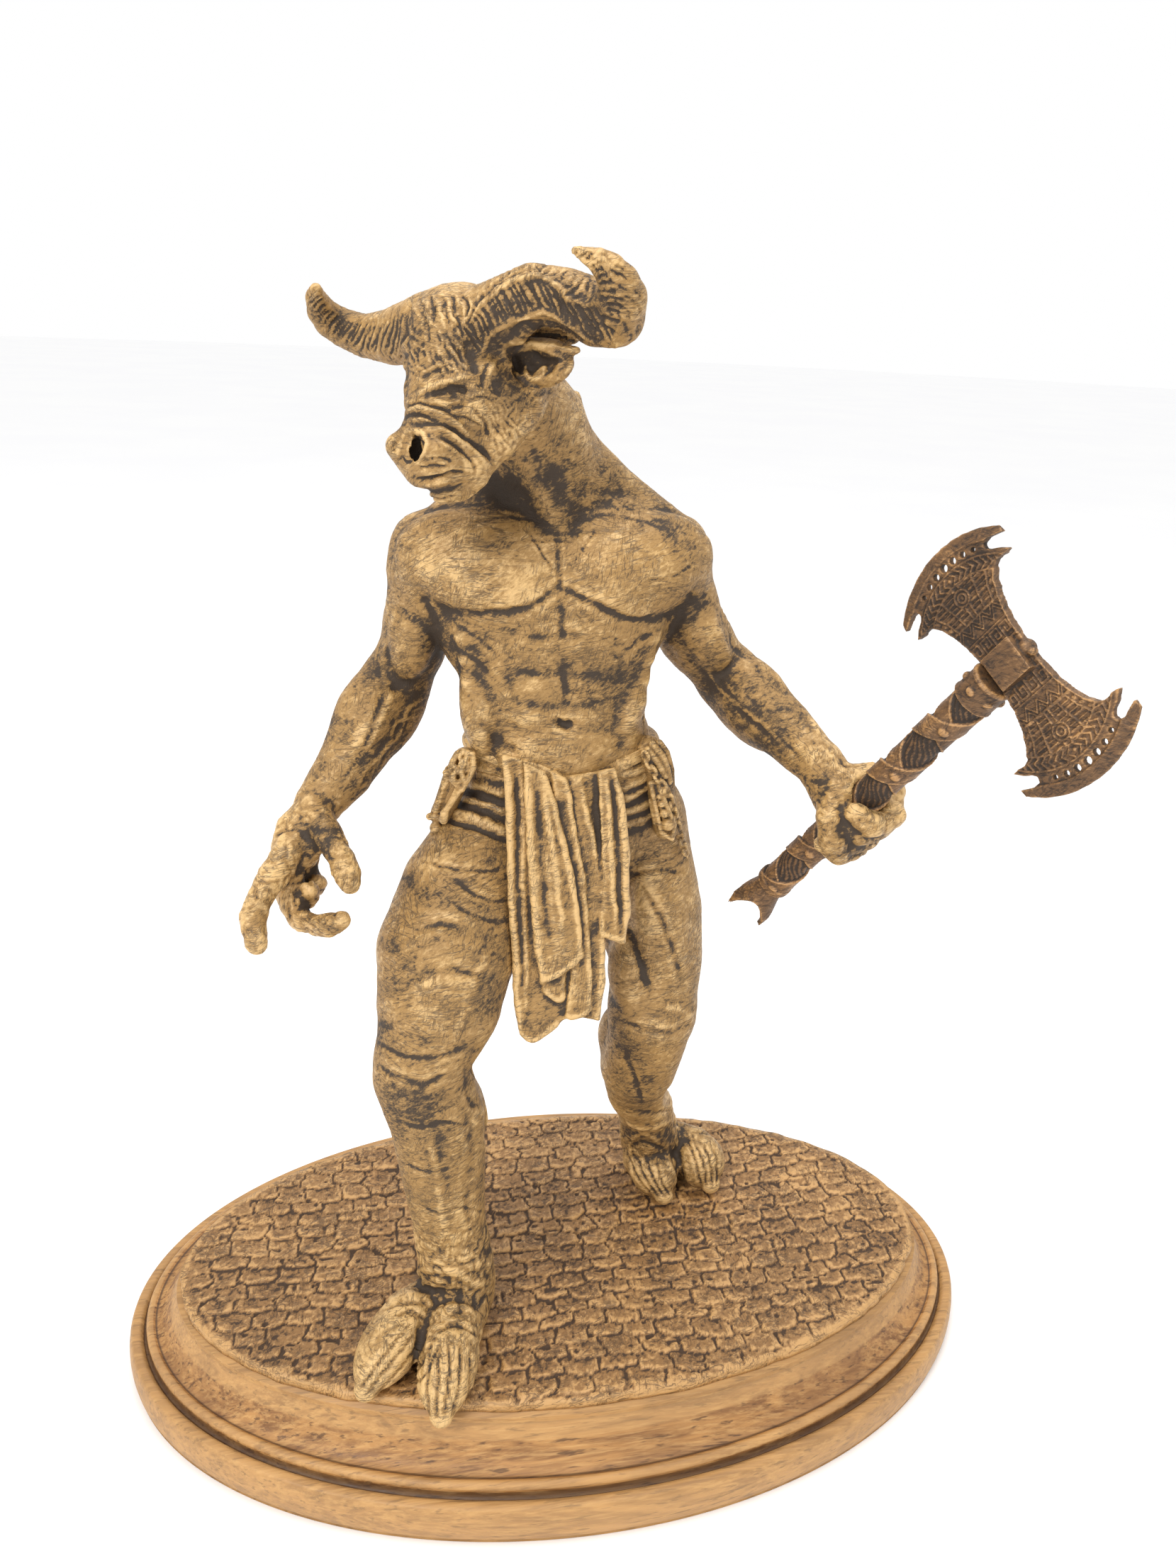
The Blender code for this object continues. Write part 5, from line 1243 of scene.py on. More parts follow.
def blade_pattern(along, away):
    """Height of the cast pattern on a blade, from 0 in the ground to 1 on the lines."""
    middle = BLADE_REACH - BLADE_ARC_RADIUS
    inward = BLADE_ARC_RADIUS - np.hypot(along, away - middle)
    angle = np.arctan2(along, away - middle)
    side = np.interp(away, (3, 7, 10.5, 14.5, 17.8, 20.4, 26), (6.2, 6.4, 7.0, 8.2, 9.6, 11.6, 14.5))
    share = np.abs(along) / side
    lines = np.maximum(ridge(inward, 3.0, 0.45), ridge(inward, 6.5, 0.4))
    rim = np.clip((3.0 - inward) / 0.6, 0, 1) * 0.9
    round_arc = angle * BLADE_ARC_RADIUS * 0.8 * np.sign(along + 1e-9)
    chevrons = np.abs(np.abs(inward - 8.3) * 1.1 + round_arc - 100) % 2.1
    chevrons = ridge(chevrons, 1.05, 0.55) * ((inward > 6.9) & (inward < 9.8))
    lines = np.maximum(lines, ridge(inward, 10.0, 0.35))
    flat_field = (inward > 10.2) & (away > 14.0)
    strips = np.max([ridge(share, mark, 0.045) for mark in (0.08, 0.42, 0.76, 0.98)], axis=0)
    ladders = ((share > 0.46) & (share < 0.72)) | ((share > 0.12) & (share < 0.38))
    rungs = ridge(away % 1.25, 0.62, 0.3) * ladders
    beads = ridge(np.hypot((away % 1.9) - 0.95, (share - 0.87) * side), 0.0, 0.75) * 1.6
    field = np.maximum(np.maximum(strips, rungs), beads) * flat_field
    ring = np.hypot(along, away - 20.2)
    circles = np.maximum(np.maximum(ridge(ring, 2.1, 0.4), ridge(ring, 1.1, 0.35)), ridge(ring, 0.0, 0.4))
    field = np.where((ring < 2.6) & flat_field, circles, field)
    zigzag = np.abs((along + 20) % 3.6 - 1.8) * 1.5
    peaks = np.maximum(ridge(away - 10.6 - zigzag, 0.0, 0.45), ridge(away - 12.0 - zigzag, 0.0, 0.4))
    peaks = peaks * ((away > 10.2) & (away < 14.0))
    cell = (along + 20) % 3.3
    rise = away - 5.2
    key = np.max([ridge(cell, 0.25, 0.3) * (rise < 3.6),
                  ridge(rise, 3.5, 0.35) * (cell < 2.7),
                  ridge(cell, 2.6, 0.3) * ((rise > 1.0) & (rise < 3.6)),
                  ridge(rise, 1.1, 0.35) * ((cell > 1.2) & (cell < 2.7)),
                  ridge(cell, 1.3, 0.3) * ((rise > 1.1) & (rise < 2.5))], axis=0)
    key = key * ((away > 5.0) & (away < 9.2))
    borders = np.max([ridge(away, mark, 0.35) for mark in (4.7, 9.5, 14.1)], axis=0) * (inward > 10.0)
    edge = ridge(share, 1.0, 0.1) * (inward > 10.0) * (away > 4.0)
    return np.clip(np.max([lines, rim, chevrons, field, peaks, key, borders, edge], axis=0), 0, 1)


def model_axe_head():
    """Two crescent blades with a cast pattern on both faces, pierced rims and a plain socket block."""
    clay = Clay((-20.5, -35.5, -4.8), (20.5, 35.5, 4.8), BLADE_GRID)
    slices, x, y, z = clay.window(clay.low, -clay.low)
    x, y = x.astype(float), y.astype(float)
    along, away = np.broadcast_arrays(x[:, :, 0], np.abs(y[:, :, 0]))
    side = blade_side()
    outline = side + [(-s, t) for s, t in reversed(side[:-1])]
    outline = outline + [(-s, -t) for s, t in outline]
    spots = np.stack((along.ravel(), np.broadcast_to(y[:, :, 0], along.shape).ravel()), axis=1)
    across = outline_distance(spots, outline).reshape(along.shape)
    middle = BLADE_REACH - BLADE_ARC_RADIUS
    inward = BLADE_ARC_RADIUS - np.hypot(along, away - middle)
    half = 1.0 + 0.42 * blade_pattern(along, away)
    half = np.where(inward < 3.0, 0.35 + 0.36 * np.clip(inward, 0, 3.0), half)
    flat_spots = np.concatenate((spots, spots[:, :1] * 0), axis=1)
    half = half + 0.05 * noise(flat_spots, 0.9, 8).reshape(half.shape)
    across = across + 0.12 * noise(flat_spots, 1.6, 9).reshape(half.shape)
    distance = np.maximum(across[:, :, None], np.abs(z) - half[:, :, None])
    for number in range(-3, 4):
        turn = number * 0.135 + 0.03
        size = 1.05 - 0.14 * abs(number)
        hole = (BLADE_ARC_RADIUS - 4.6) * np.array((math.sin(turn), math.cos(turn)))
        bore = size - np.hypot(along - hole[0], away - hole[1] - middle)
        distance = np.maximum(distance, bore[:, :, None])
    clay.values[slices] = distance
    block_sides = np.maximum(np.abs(x), np.abs(y)) - SOCKET_SIDE / 2
    block = np.maximum(block_sides, np.abs(z) - SOCKET_DEPTH / 2)
    clay.merge(slices, block.astype(np.float32), 0.4)
    clay.lump((SOCKET_SIDE / 2 + 0.6, 0.3, 0), (2.4, 2.0, 2.2), blend=0.5)
    clay.lump((SOCKET_SIDE / 2 + 1.4, -1.4, 0.6), (1.4, 1.2, 1.2), blend=0.3)
    points, quads = clay.mesh()
    points = smoothed(points, quads, 1, 0.3)
    return from_haft(points, GRIP_TO_SOCKET), quads


WRAP_START = 33.0
WRAP_LIFTS = (1.15, 0.75)
FRONT_TURN = math.radians(-60.0)
BARE_RADIUS = 3.9
RIVET_RADIUS = 1.3


def wrap_height(along, turn):
    """Height of the two crossing straps and of their rivets over the bare haft."""
    height = np.zeros(np.broadcast(along, turn).shape)
    for hand, lift in ((1, WRAP_LIFTS[0]), (-1, WRAP_LIFTS[1])):
        slope = (along - WRAP_START) / WRAP_PITCH - hand * turn / (2 * math.pi)
        off = np.abs(slope - np.round(slope)) * WRAP_PITCH
        strap = np.clip((WRAP_HALF_WIDTH - off) / 0.3, 0, 1)
        hem = 0.2 * ridge(off, WRAP_HALF_WIDTH - 0.5, 0.4)
        height = np.maximum(height, lift * strap + hem * strap)
    for phase, start in ((0.0, 0.0), (math.pi, WRAP_PITCH / 2)):
        up = (along - WRAP_START - start) / WRAP_PITCH
        off_along = (up - np.round(up)) * WRAP_PITCH
        off_round = (turn - phase + math.pi) % (2 * math.pi) - math.pi
        away = np.hypot(off_along, off_round * HAFT_RADIUS)
        dome = WRAP_LIFTS[0] + 0.9 * np.sqrt(np.clip(1 - (away / RIVET_RADIUS) ** 2, 0, 1))
        height = np.where(away < RIVET_RADIUS, dome, height)
    return height


def model_haft():
    """The haft: rough wood under crossing riveted straps, a collar and a three-pointed crown at its foot."""
    low, high = HAFT_FOOT - SPIKE_LENGTH - 1, HAFT_TOP + 1
    clay = Clay((low, -8.5, -8.5), (high, 8.5, 8.5), HAFT_GRID)
    slices, x, y, z = clay.window(clay.low, np.array((high, 8.5, 8.5)))
    x, y, z = (part.astype(float) for part in (x, y, z))
    radius = np.hypot(y, z)
    turn = np.arctan2(z, y) - FRONT_TURN
    wraps = wrap_height(x, turn)
    bark = 0.45 * np.abs(np.sin(turn * 7 + x * 1.3 + 0.8 * np.sin(x * 0.9))) - 0.1
    wrapped = BARE_RADIUS + np.maximum(wraps, bark)
    collar = HAFT_RADIUS + 1.1 + 0.3 * ridge(x, HAFT_TOP - 0.8, 0.6)
    collar = collar + 0.3 * ridge(x, HAFT_TOP - COLLAR_LENGTH, 0.6)
    stud = np.hypot(x - HAFT_TOP + 4.0, (turn % (math.pi / 3) - 0.5) * HAFT_RADIUS)
    collar = collar + 0.9 * np.sqrt(np.clip(1 - (stud / 1.1) ** 2, 0, 1))
    size = np.where(x > HAFT_TOP - COLLAR_LENGTH, collar, wrapped)
    flare = np.clip((HAFT_FOOT + 9 - x) / 12, 0, 1)
    crown = HAFT_RADIUS - 0.2 + 3.0 * flare ** 1.6
    size = np.where(x < HAFT_FOOT + 9, crown, size)
    size = np.where(np.abs(x - HAFT_FOOT - 9.5) < 1.2, HAFT_RADIUS + 1.1, size)
    distance = radius - size
    notch = HAFT_FOOT - SPIKE_LENGTH + (SPIKE_LENGTH + 1.5) * np.abs(np.sin(1.5 * turn)) ** 0.7
    distance = np.maximum(distance, (notch - x) * 0.6)
    hollow = np.maximum(radius - (size - 1.5), x - HAFT_FOOT - 1.5)
    distance = np.maximum(distance, -hollow)
    distance = np.maximum(distance, x - HAFT_TOP)
    clay.values[slices] = np.clip(distance, -FAR, FAR)
    points, quads = clay.mesh()
    points = smoothed(points, quads, 1, 0.4)
    # The bare wood between the straps is made darker.
    wash_and_painted_shade = 0.85 * (wrap_height(points[:, 0], np.arctan2(points[:, 2], points[:, 1]) - FRONT_TURN) < 0.2)
    wash_and_painted_shade = wash_and_painted_shade * (points[:, 0] < HAFT_TOP - COLLAR_LENGTH) * (points[:, 0] > HAFT_FOOT + 9)
    return from_haft(points, 0.0), quads, wash_and_painted_shade


# The paving and the plinth, in millimetres of the row frame.

PLINTH_LENGTH = 300.0
PLINTH_WIDTH = 186.0
PLINTH_HEIGHT = 29.7
PLINTH_STEPS = 420
RIM_HEIGHT = 14.0
SLAB_LENGTH = 263.0
SLAB_WIDTH = 138.0
SLAB_BOTTOM = 30.0
SLAB_TOP = 34.0
SLAB_SHIFT = -3.4
ROW_PITCH = 6.7
STONE_PITCH = 11.6
PAVING_STEP = 0.7


def paving_height(x, y):
    """Height of the overlapping setts, which step down towards the viewer like shingles."""
    spots = np.stack((x, y, x * 0), axis=1)
    level = (y - SLAB_SHIFT + SLAB_WIDTH / 2) / ROW_PITCH
    level = level + 0.5 * noise(spots, 60.0, 21) + 0.16 * noise(spots, 14.0, 22) - 0.00002 * x ** 2
    height = np.zeros(len(x))
    found = np.zeros(len(x), bool)
    for ahead in (1, 0, -1, -2):
        row = np.floor(level) + ahead
        stagger = lattice_value(np.stack((row, row * 0, row * 0), axis=1), 31)
        place = x / STONE_PITCH + row * 0.5 + stagger * 0.5
        place = place + 0.16 * noise(spots, 8.0, 23) + 0.05 * noise(spots, 2.2, 28)
        column = np.floor(place)
        key = np.stack((column, row, row * 0), axis=1)
        wander = 0.44 * (lattice_value(key, 32) - 0.5)
        inside = place - column
        bend = 0.22 * (2 * inside - 1) ** 2 + wander + 0.07 * noise(spots, 1.7, 27)
        past = level - row - bend
        covers = ~found & (past >= 0)
        lift = 0.75 + 0.35 * lattice_value(key, 33)
        tilt = (lattice_value(key, 34) - 0.5) * 0.5 * (inside - 0.5)
        face = lift * (1 - 0.75 * np.clip(past, 0, 1.3)) + tilt
        face = face - 0.9 * np.exp(-past / 0.06)
        joint = np.minimum(inside, 1 - inside) * STONE_PITCH
        face = face - 0.7 * np.exp(-(joint / 0.5) ** 2)
        height = np.where(covers, face, height)
        found |= covers
    rough = 0.16 * noise(spots, 2.0, 24) + 0.10 * noise(spots, 0.9, 25)
    pits = np.clip(noise(spots, 3.0, 26) - 0.62, 0, 1) * -2.0
    return height + rough + pits


def model_paving():
    """The oval slab: a fine grid carved into setts, with a rough-cut side."""
    half_x, half_y = SLAB_LENGTH / 2 - 0.6, SLAB_WIDTH / 2 - 0.6
    xs = np.arange(-half_x - 1, half_x + 1, PAVING_STEP)
    ys = np.arange(-half_y - 1, half_y + 1, PAVING_STEP)
    grid_x, grid_y = np.meshgrid(xs, ys, indexing="ij")
    inside = (grid_x / half_x) ** 2 + (grid_y / half_y) ** 2 < 0.995
    number = np.arange(grid_x.size).reshape(grid_x.shape)
    whole = inside[:-1, :-1] & inside[1:, :-1] & inside[1:, 1:] & inside[:-1, 1:]
    quads = np.stack((number[:-1, :-1][whole], number[1:, :-1][whole], number[1:, 1:][whole],
                      number[:-1, 1:][whole]), axis=1)
    used = np.unique(quads)
    place = np.zeros(grid_x.size, np.int64)
    place[used] = np.arange(len(used))
    quads = place[quads]
    x, y = grid_x.ravel()[used], grid_y.ravel()[used]
    starts, ends = quads.ravel(), np.roll(quads, -1, axis=1).ravel()
    size = len(used)
    border = ~np.isin(starts * size + ends, ends * size + starts)
    rim_start, rim_end = starts[border], ends[border]
    rim = np.unique(rim_start)
    turn = np.arctan2(y[rim] / half_y, x[rim] / half_x)
    chips = 1 + 0.004 * noise(np.stack((x[rim], y[rim], x[rim] * 0), axis=1), 5.0, 41)
    x[rim], y[rim] = half_x * np.cos(turn) * chips, half_y * np.sin(turn) * chips
    height = SLAB_TOP - 1.0 + paving_height(x, y + SLAB_SHIFT)
    edge = np.clip((1 - np.sqrt((x / half_x) ** 2 + (y / half_y) ** 2)) * half_y / 2.5, 0, 1)
    rim_height = SLAB_TOP - 0.9 + 0.35 * noise(np.stack((x, y, x * 0), axis=1), 4.0, 42)
    height = height * edge + rim_height * (1 - edge)
    points = [np.stack((x, y + SLAB_SHIFT, height), axis=1)]
    faces = [quads]
    order = {int(a): int(b) for a, b in zip(rim_start, rim_end)}
    loop = [int(rim_start[0])]
    while order[loop[-1]] != loop[0]:
        loop.append(order[loop[-1]])
    upper = np.array(loop)
    total = size
    for share in (0.3, 0.6, 1.0):
        ring = points[0][loop].copy()
        ring[:, 2] = ring[:, 2] + (SLAB_BOTTOM - ring[:, 2]) * share
        wave = noise(ring, 2.2, 43) * 0.35 * (share < 1)
        ring[:, 0] *= 1 + wave / half_x
        ring[:, 1] = SLAB_SHIFT + (ring[:, 1] - SLAB_SHIFT) * (1 + wave / half_y)
        lower = total + np.arange(len(loop))
        faces.append(np.stack((upper, lower, np.roll(lower, -1), np.roll(upper, -1)), axis=1))
        points.append(ring)
        upper = lower
        total += len(loop)
    points.append(np.array(((0.0, SLAB_SHIFT, SLAB_BOTTOM),)))
    middle = np.full(len(loop) // 2, total)
    odd = upper[0:2 * (len(loop) // 2):2]
    faces.append(np.stack((middle, np.roll(odd, -1), upper[1:2 * (len(loop) // 2):2], odd), axis=1))
    return np.concatenate(points), np.concatenate(faces)


def plinth_profile():
    """Setback from the rim, height and share of the way to the slab's oval, from the underside up."""
    rim = [(2.0, 0.0, 0), (1.0, 0.4, 0)]
    for share in np.linspace(0, 1, 9):
        turn = math.pi * (share - 0.5)
        rim.append((1.6 * (1 - math.cos(turn)), 0.8 + (RIM_HEIGHT - 1.0) * (0.5 + 0.5 * math.sin(turn)), 0))
    rim += [(3.4, RIM_HEIGHT - 0.1, 0), (4.4, RIM_HEIGHT - 0.5, 0), (5.0, RIM_HEIGHT - 1.6, 0),
            (5.8, RIM_HEIGHT - 1.7, 0)]
    for degrees in range(200, 20, -20):
        turn = math.radians(degrees)
        rim.append((7.8 + 1.8 * math.cos(turn), RIM_HEIGHT + 1.3 + 1.8 * math.sin(turn), 0))
    setback, height, _ = rim[-1]
    for share in np.linspace(0, 1, 14)[1:]:
        rise = 1 - math.cos(share * math.pi / 2)
        rim.append((setback, height + (PLINTH_HEIGHT - 2.2 - height) * rise, share * 0.97))
    rim += [(setback, PLINTH_HEIGHT - 1.8, 0.975), (setback, PLINTH_HEIGHT - 0.3, 0.98),
            (setback, PLINTH_HEIGHT, 0.985)]
    return rim


def model_plinth():
    turns = np.linspace(0, 2 * math.pi, PLINTH_STEPS, endpoint=False)
    top_x, top_y = SLAB_LENGTH / 2 + 1.0, SLAB_WIDTH / 2 + 1.0
    rings = []
    for setback, height, share in plinth_profile():
        reach_x = (PLINTH_LENGTH / 2 - setback) * (1 - share) + top_x * share
        reach_y = (PLINTH_WIDTH / 2 - setback) * (1 - share) + top_y * share
        rings.append(np.stack((reach_x * np.cos(turns), SLAB_SHIFT * share + reach_y * np.sin(turns),
                               np.full(PLINTH_STEPS, height)), axis=1))
    for shrink in (0.5, 0.004):
        ring = rings[-1].copy()
        ring[:, :2] *= shrink
        rings.append(ring)
    for shrink in (0.5, 0.004):
        ring = rings[0].copy()
        ring[:, :2] *= shrink
        rings.insert(0, ring)
    points = np.concatenate(rings)
    places = np.arange(len(points)).reshape(len(rings), PLINTH_STEPS)
    around = np.roll(places, -1, axis=1)
    quads = np.stack((places[:-1], around[:-1], around[1:], places[1:]), axis=-1).reshape(-1, 4)
    return points, quads


# Making objects.

def placed(points):
    """Points in the figure's numbers, in the row frame's metres."""
    return (points + np.array((0.0, FIGURE_SHIFT, SOLE_LEVEL))) * METRES


def made_object(name, points, faces, finish, shades=()):
    """An object from points in metres; shades are named numbers kept at each point."""
    mesh = bpy.data.meshes.new(name)
    mesh.vertices.add(len(points))
    mesh.vertices.foreach_set("co", np.asarray(points, np.float32).ravel())
    faces = np.asarray(faces)
    mesh.loops.add(faces.size)
    mesh.loops.foreach_set("vertex_index", faces.ravel().astype(np.int32))
    mesh.polygons.add(len(faces))
    mesh.polygons.foreach_set("loop_start", np.arange(0, faces.size, faces.shape[1], dtype=np.int32))
    mesh.polygons.foreach_set("use_smooth", np.ones(len(faces), bool))
    mesh.update(calc_edges=True)
    mesh.validate()
    for title, values in shades:
        attribute = mesh.attributes.new(title, "FLOAT", "POINT")
        attribute.data.foreach_set("value", np.asarray(values, np.float32))
    mesh.materials.append(finish)
    obj = bpy.data.objects.new(name, mesh)
    bpy.context.scene.collection.objects.link(obj)
    return obj


# The sizes of a cast skin's swells, grains and cracks, and the smoothing that its relief is measured from.
SWELL_SIZE = 5.0
GRAIN_SIZE = 1.6
CRACK_SIZE = 7.0
NEAR_ROUNDS = 3
WIDE_ROUNDS = 24

# Each skin's heights of swells, grains and cracks, then the near and wide relief that count as full.
BODY_SKIN = (0.16, 0.07, 0.10, 0.22, 2.0)
HEAD_SKIN = (0.10, 0.09, 0.08, 0.24, 1.6)
CLOTH_SKIN = (0.05, 0.05, 0.04, 0.20, 1.2)
ORNAMENT_SKIN = (0.0, 0.05, 0.0, 0.20, 0.9)
HAFT_SKIN = (0.02, 0.03, 0.04, 0.16, 1.0)
BLADE_SKIN = (0.0, 0.02, 0.0, 0.16, 1.2)


def cast_piece(name, finish, skin, points, quads, wash_and_painted_shade=None):
    """A sculpted piece: skin noise, then marks of how high each point stands and how dark its wash and
    painted shade are.
    """
    normals = point_normals(points, quads)
    coarse, fine, crack, full_near, full_wide = skin
    lift = coarse * noise(points, SWELL_SIZE, 1) + fine * noise(points, GRAIN_SIZE, 2)
    lift = lift - crack * cracks(points, CRACK_SIZE, 5)
    points = points + normals * lift[:, None]
    near = np.clip(0.5 + relief_of(points, quads, NEAR_ROUNDS) / full_near, 0, 1)
    wide = np.clip(0.5 + relief_of(points, quads, WIDE_ROUNDS) / full_wide, 0, 1)
    wash_and_painted_shade = np.zeros(len(points)) if wash_and_painted_shade is None else wash_and_painted_shade
    shades = (("fine_relief", near), ("broad_relief", wide), ("wash_and_painted_shade", wash_and_painted_shade))
    return made_object(name, placed(points), quads, finish, shades)


# Finishes.

class Nodes:
    """Short calls for a material's nodes."""

    def __init__(self, name):
        self.material = bpy.data.materials.new(name)
        self.material.use_nodes = True
        self.tree = self.material.node_tree
        self.shader = self.tree.nodes["Principled BSDF"]
        self.place = self.add("ShaderNodeTexCoord").outputs["Object"]

    def add(self, kind, **settings):
        node = self.tree.nodes.new(kind)
        for name, value in settings.items():
            setattr(node, name, value)
        return node

    def link(self, source, target):
        if hasattr(source, "is_output"):
            self.tree.links.new(source, target)
        else:
            target.default_value = source

    def attribute(self, name):
        return self.add("ShaderNodeAttribute", attribute_name=name).outputs["Fac"]

    def stretched(self, scale):
        node = self.add("ShaderNodeMapping")
        self.link(self.place, node.inputs["Vector"])
        node.inputs["Scale"].default_value = scale
        return node.outputs["Vector"]

    def turned(self, turn, scale):
        """Object coordinates turned first and then stretched."""
        node = self.add("ShaderNodeMapping", vector_type="POINT")
        self.link(self.place, node.inputs["Vector"])
        node.inputs["Rotation"].default_value = turn
        final = self.add("ShaderNodeMapping")
        self.link(node.outputs["Vector"], final.inputs["Vector"])
        final.inputs["Scale"].default_value = scale
        return final.outputs["Vector"]

    def noise(self, scale, detail=4.0, rough=0.6, place=None, distortion=0.0):
        node = self.add("ShaderNodeTexNoise")
        self.link(place or self.place, node.inputs["Vector"])
        node.inputs["Scale"].default_value = scale
        node.inputs["Detail"].default_value = detail
        node.inputs["Roughness"].default_value = rough
        node.inputs["Distortion"].default_value = distortion
        return node.outputs["Fac"]

    def range(self, value, low, high, to_low=0.0, to_high=1.0):
        node = self.add("ShaderNodeMapRange", interpolation_type="SMOOTHSTEP")
        self.link(value, node.inputs["Value"])
        node.inputs["From Min"].default_value = low
        node.inputs["From Max"].default_value = high
        node.inputs["To Min"].default_value = to_low
        node.inputs["To Max"].default_value = to_high
        return node.outputs["Result"]

    def math(self, operation, first, second=0.5):
        node = self.add("ShaderNodeMath", operation=operation)
        self.link(first, node.inputs[0])
        self.link(second, node.inputs[1])
        return node.outputs["Value"]

    def mix(self, share, first, second, blend="MIX"):
        node = self.add("ShaderNodeMix", data_type="RGBA", blend_type=blend)
        self.link(share, node.inputs[0])
        self.link(first, node.inputs[6])
        self.link(second, node.inputs[7])
        return node.outputs[2]

    def bump(self, height, strength, distance):
        node = self.add("ShaderNodeBump")
        self.link(height, node.inputs["Height"])
        node.inputs["Strength"].default_value = strength
        node.inputs["Distance"].default_value = distance
        self.link(node.outputs["Normal"], self.shader.inputs["Normal"])

    def finish(self, colour, roughness):
        self.link(colour, self.shader.inputs["Base Color"])
        self.link(roughness, self.shader.inputs["Roughness"])
        return self.material


def rgb(red, green, blue):
    """A colour given as its screen values from 0 to 255."""
    linear = [((c / 255 + 0.055) / 1.055) ** 2.4 if c > 10 else c / 3294.6 for c in (red, green, blue)]
    return (*linear, 1.0)


def patina_and_painted_shade(name, light, body, dark, wash=0.0):
    """Paint rubbed back over a dark wash: dark in hollows and in scratches, light on raised edges; the dark
    in hollows is partly painted shade and the light on edges partly a painted highlight.
    """
    n = Nodes(name)
    near, wide = n.attribute("fine_relief"), n.attribute("broad_relief")
    cloud = n.noise(34.0, 3.0)
    smear = n.noise(120.0, 6.0, 0.68, n.turned((0.4, 0.3, 0.9), (1.0, 1.0, 2.4)), 0.6)
    fleck = n.noise(560.0, 5.0, 0.72, n.turned((0.2, 0.6, 0.1), (1.0, 1.0, 2.4)), 0.5)
    grit = n.noise(900.0, 4.0, 0.7)
    # How raised each point stands: hollows get the dark wash and painted shade, raised edges the rubbed paint
    # and a painted highlight.
    raised = n.math("ADD", n.math("MULTIPLY", near, 0.45), n.math("MULTIPLY", wide, 0.55))
    mottle_and_painted_shade = n.math("ADD", raised, n.math("MULTIPLY", n.math("SUBTRACT", smear, 0.5), 0.72))
    mottle_and_painted_shade = n.math("ADD", mottle_and_painted_shade, n.math("MULTIPLY", n.math("SUBTRACT", fleck, 0.5), 0.95))
    mottle_and_painted_shade = n.math("ADD", mottle_and_painted_shade, n.math("MULTIPLY", n.math("SUBTRACT", cloud, 0.5 + wash), 0.7))
    # Darker where the wash and the painted shade lie.
    mottle_and_painted_shade = n.math("SUBTRACT", mottle_and_painted_shade, n.math("MULTIPLY", n.attribute("wash_and_painted_shade"), 0.30))
    colour = n.mix(n.range(mottle_and_painted_shade, 0.20, 0.46), dark, body)
    colour = n.mix(n.range(mottle_and_painted_shade, 0.48, 0.86), colour, light)
    scratch = 0.0
    for number, turn in enumerate(((0.0, 0.0, 0.0), (0.5, 0.25, 0.0), (-0.45, 0.1, 0.0), (0.1, 1.35, 0.3))):
        lines = n.noise(84.0 + 12 * number, 3.0, 0.55, n.turned(turn, (1.0, 1.0, 7.0)), 0.3)
        thin = n.range(n.math("ABSOLUTE", n.math("SUBTRACT", lines, 0.5)), 0.0, 0.03, 1.0, 0.0)
        patch = n.range(n.noise(60.0 + 9 * number, 2.0, 0.5, n.turned(turn, (1.0, 1.0, 1.0))), 0.42, 0.60)
        scratch = n.math("MAXIMUM", n.math("MULTIPLY", thin, patch), scratch)
    colour = n.mix(n.math("MULTIPLY", scratch, 0.72), colour, dark)
    colour = n.mix(n.range(grit, 0.62, 0.74, 0.0, 0.5), colour, dark)
    height = n.math("SUBTRACT", n.math("ADD", n.math("MULTIPLY", smear, 0.5), n.math("MULTIPLY", grit, 0.35)),
                    n.math("MULTIPLY", scratch, 0.45))
    n.bump(height, 0.45, 0.0006)
    return n.finish(colour, n.range(mottle_and_painted_shade, 0.2, 0.8, 0.72, 0.46))


def wood_finish():
    """Stained wood with its grain along the plinth's long axis, darker in its grooves."""
    n = Nodes("stained_wood")
    bands = n.noise(7.0, 6.0, 0.62, n.stretched((3.0, 30.0, 30.0)), 1.4)
    fibre = n.noise(60.0, 3.0, 0.7, n.stretched((1.0, 14.0, 14.0)))
    pores = n.noise(260.0, 3.0, 0.6, n.stretched((0.35, 3.0, 3.0)))
    blotch = n.noise(16.0, 4.0)
    near, wide = n.attribute("fine_relief"), n.attribute("broad_relief")
    base = n.mix(n.range(bands, 0.30, 0.66), rgb(116, 76, 38), rgb(178, 130, 74))
    base = n.mix(n.range(fibre, 0.42, 0.70, 0.0, 0.55), base, rgb(204, 160, 102))
    base = n.mix(n.range(blotch, 0.52, 0.74, 0.0, 0.65), base, rgb(112, 74, 40))
    base = n.mix(n.range(pores, 0.56, 0.68, 0.0, 0.75), base, rgb(74, 46, 24))
    colour = n.mix(n.range(near, 0.40, 0.10, 0.0, 0.75), base, rgb(58, 36, 20))
    colour = n.mix(n.range(wide, 0.56, 0.85, 0.0, 0.35), colour, rgb(200, 158, 102))
    n.bump(n.math("ADD", n.math("MULTIPLY", bands, 0.5), n.math("MULTIPLY", pores, 0.5)), 0.4, 0.0006)
    return n.finish(colour, n.range(fibre, 0.3, 0.7, 0.45, 0.62))


def floor_finish():
    n = Nodes("pale_floor")
    cloud = n.noise(3.0, 2.0)
    return n.finish(n.mix(n.range(cloud, 0.3, 0.7), rgb(250, 250, 251), rgb(252, 252, 252)), 0.9)


# Camera, light and floor, in metres.

FLOOR_RADII = (0.02, 0.4, 2.0, 9.0)
FLOOR_STEPS = 96


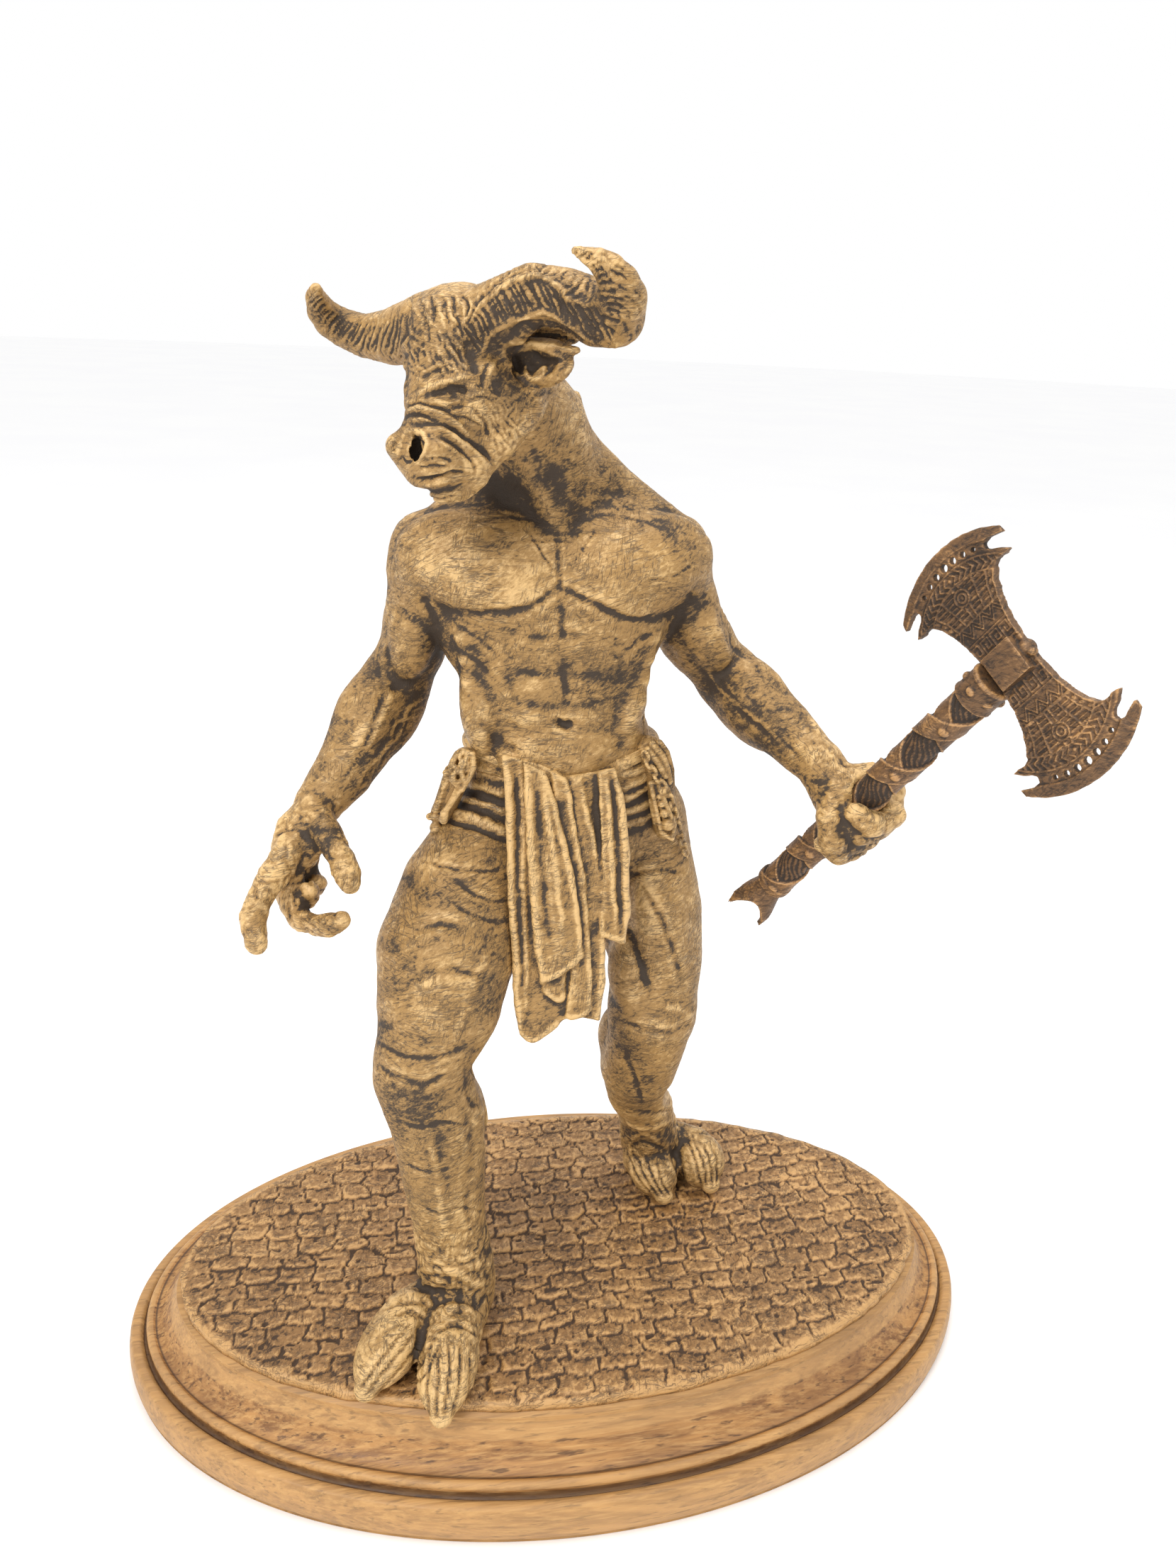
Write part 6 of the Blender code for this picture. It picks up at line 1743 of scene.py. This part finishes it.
def set_camera():
    data = bpy.data.cameras.new("photo_camera")
    data.sensor_width = SENSOR
    data.lens = FOCAL_PIXELS * SENSOR / PICTURE_HEIGHT
    data.clip_start = 0.01
    camera = bpy.data.objects.new("photo_camera", data)
    turn = Matrix((Vector(RIGHTWARD), Vector(UPWARD), Vector(-ONWARD))).transposed().to_4x4()
    camera.matrix_world = Matrix.Translation(Vector(CAMERA_SPOT) * METRES) @ turn
    bpy.context.scene.collection.objects.link(camera)
    bpy.context.scene.camera = camera


def add_light(name, spot, aim, size, power, colour=(1, 1, 1)):
    data = bpy.data.lights.new(name, "AREA")
    data.shape = "DISK"
    data.size = size
    data.energy = power
    data.color = colour
    light = bpy.data.objects.new(name, data)
    light.location = spot
    light.rotation_euler = (Vector(aim) - Vector(spot)).to_track_quat("-Z", "Y").to_euler()
    bpy.context.scene.collection.objects.link(light)


def set_stage():
    """A wide white floor and a bright room, with a soft key light from the upper left."""
    turns = np.linspace(0, 2 * math.pi, FLOOR_STEPS, endpoint=False)
    spots = [(radius * math.cos(turn), radius * math.sin(turn), 0.0)
             for radius in FLOOR_RADII for turn in turns]
    places = np.arange(len(spots)).reshape(len(FLOOR_RADII), FLOOR_STEPS)
    around = np.roll(places, -1, axis=1)
    faces = np.stack((places[:-1], places[1:], around[1:], around[:-1]), axis=-1).reshape(-1, 4)
    floor = made_object("floor", np.array(spots), faces, floor_finish())
    bpy.context.scene.view_settings.view_transform = "Standard"
    world = bpy.data.worlds.new("studio")
    world.use_nodes = True
    world.node_tree.nodes["Background"].inputs["Color"].default_value = (1, 1, 1, 1)
    world.node_tree.nodes["Background"].inputs["Strength"].default_value = 1.0
    bpy.context.scene.world = world
    add_light("key", (-0.55, -0.75, 0.95), (0, 0, 0.2), 0.45, 7.0, (1.0, 0.98, 0.95))
    add_light("top", (0.1, 0.0, 1.3), (0, 0, 0.2), 0.6, 4.5)


def row_piece(name, points, quads, finish, rounds):
    """A piece given in millimetres of the row frame, with marks of how high each point stands."""
    near = np.clip(0.5 + relief_of(points, quads, 2) / 0.22, 0, 1)
    wide = np.clip(0.5 + relief_of(points, quads, rounds) / 0.9, 0, 1)
    shades = (("fine_relief", near), ("broad_relief", wide), ("wash_and_painted_shade", np.zeros(len(points))))
    return made_object(name, points * METRES, quads, finish, shades)


def main():
    set_camera()
    set_stage()
    resin = patina_and_painted_shade("aged_ochre_resin", rgb(212, 174, 116), rgb(156, 120, 68), rgb(58, 45, 32))
    brown = patina_and_painted_shade("brown_resin", rgb(178, 134, 84), rgb(104, 74, 44), rgb(46, 34, 24), 0.06)
    # The setts come out light on their raised lips, a painted highlight, and dark in the steps below them, a
    # painted shadow, besides their dark joints.
    paving = patina_and_painted_shade("ochre_paving", rgb(196, 152, 96), rgb(142, 104, 60), rgb(66, 46, 28))
    wood = wood_finish()
    torso = cast_piece("figure_torso", resin, BODY_SKIN, *model_torso())
    legs = cast_piece("figure_legs", resin, BODY_SKIN, *model_hips_and_legs())
    head = cast_piece("figure_head", resin, HEAD_SKIN, *model_head())
    cloth = cast_piece("figure_loincloth", resin, CLOTH_SKIN, *model_loincloth())
    links = cast_piece("hip_chain", resin, ORNAMENT_SKIN, *model_hip_chain())
    clasp = cast_piece("hip_openwork", resin, ORNAMENT_SKIN, *model_hip_openwork())
    haft = cast_piece("wrapped_haft", brown, HAFT_SKIN, *model_haft())
    blades = cast_piece("pierced_blades", brown, BLADE_SKIN, *model_axe_head())
    slab = row_piece("paved_slab", *model_paving(), paving, 12)
    plinth = row_piece("oval_plinth", *model_plinth(), wood, 30)
    slots = {piece: "aged_ochre_resin" for piece in (torso, legs, head, cloth, links, clasp)}
    slots.update({haft: "brown_resin", blades: "brown_resin", slab: "ochre_paving", plinth: "stained_wood"})
    for piece, slot in slots.items():
        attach(piece, "root")
        print(piece.name, 2 * len(piece.data.polygons), "triangles")
    for piece, node in ((torso, "figure"), (haft, "axe_handle"), (blades, "axe_head"), (slab, "cobble_slab"),
                        (plinth, "plinth")):
        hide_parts(node)


main()
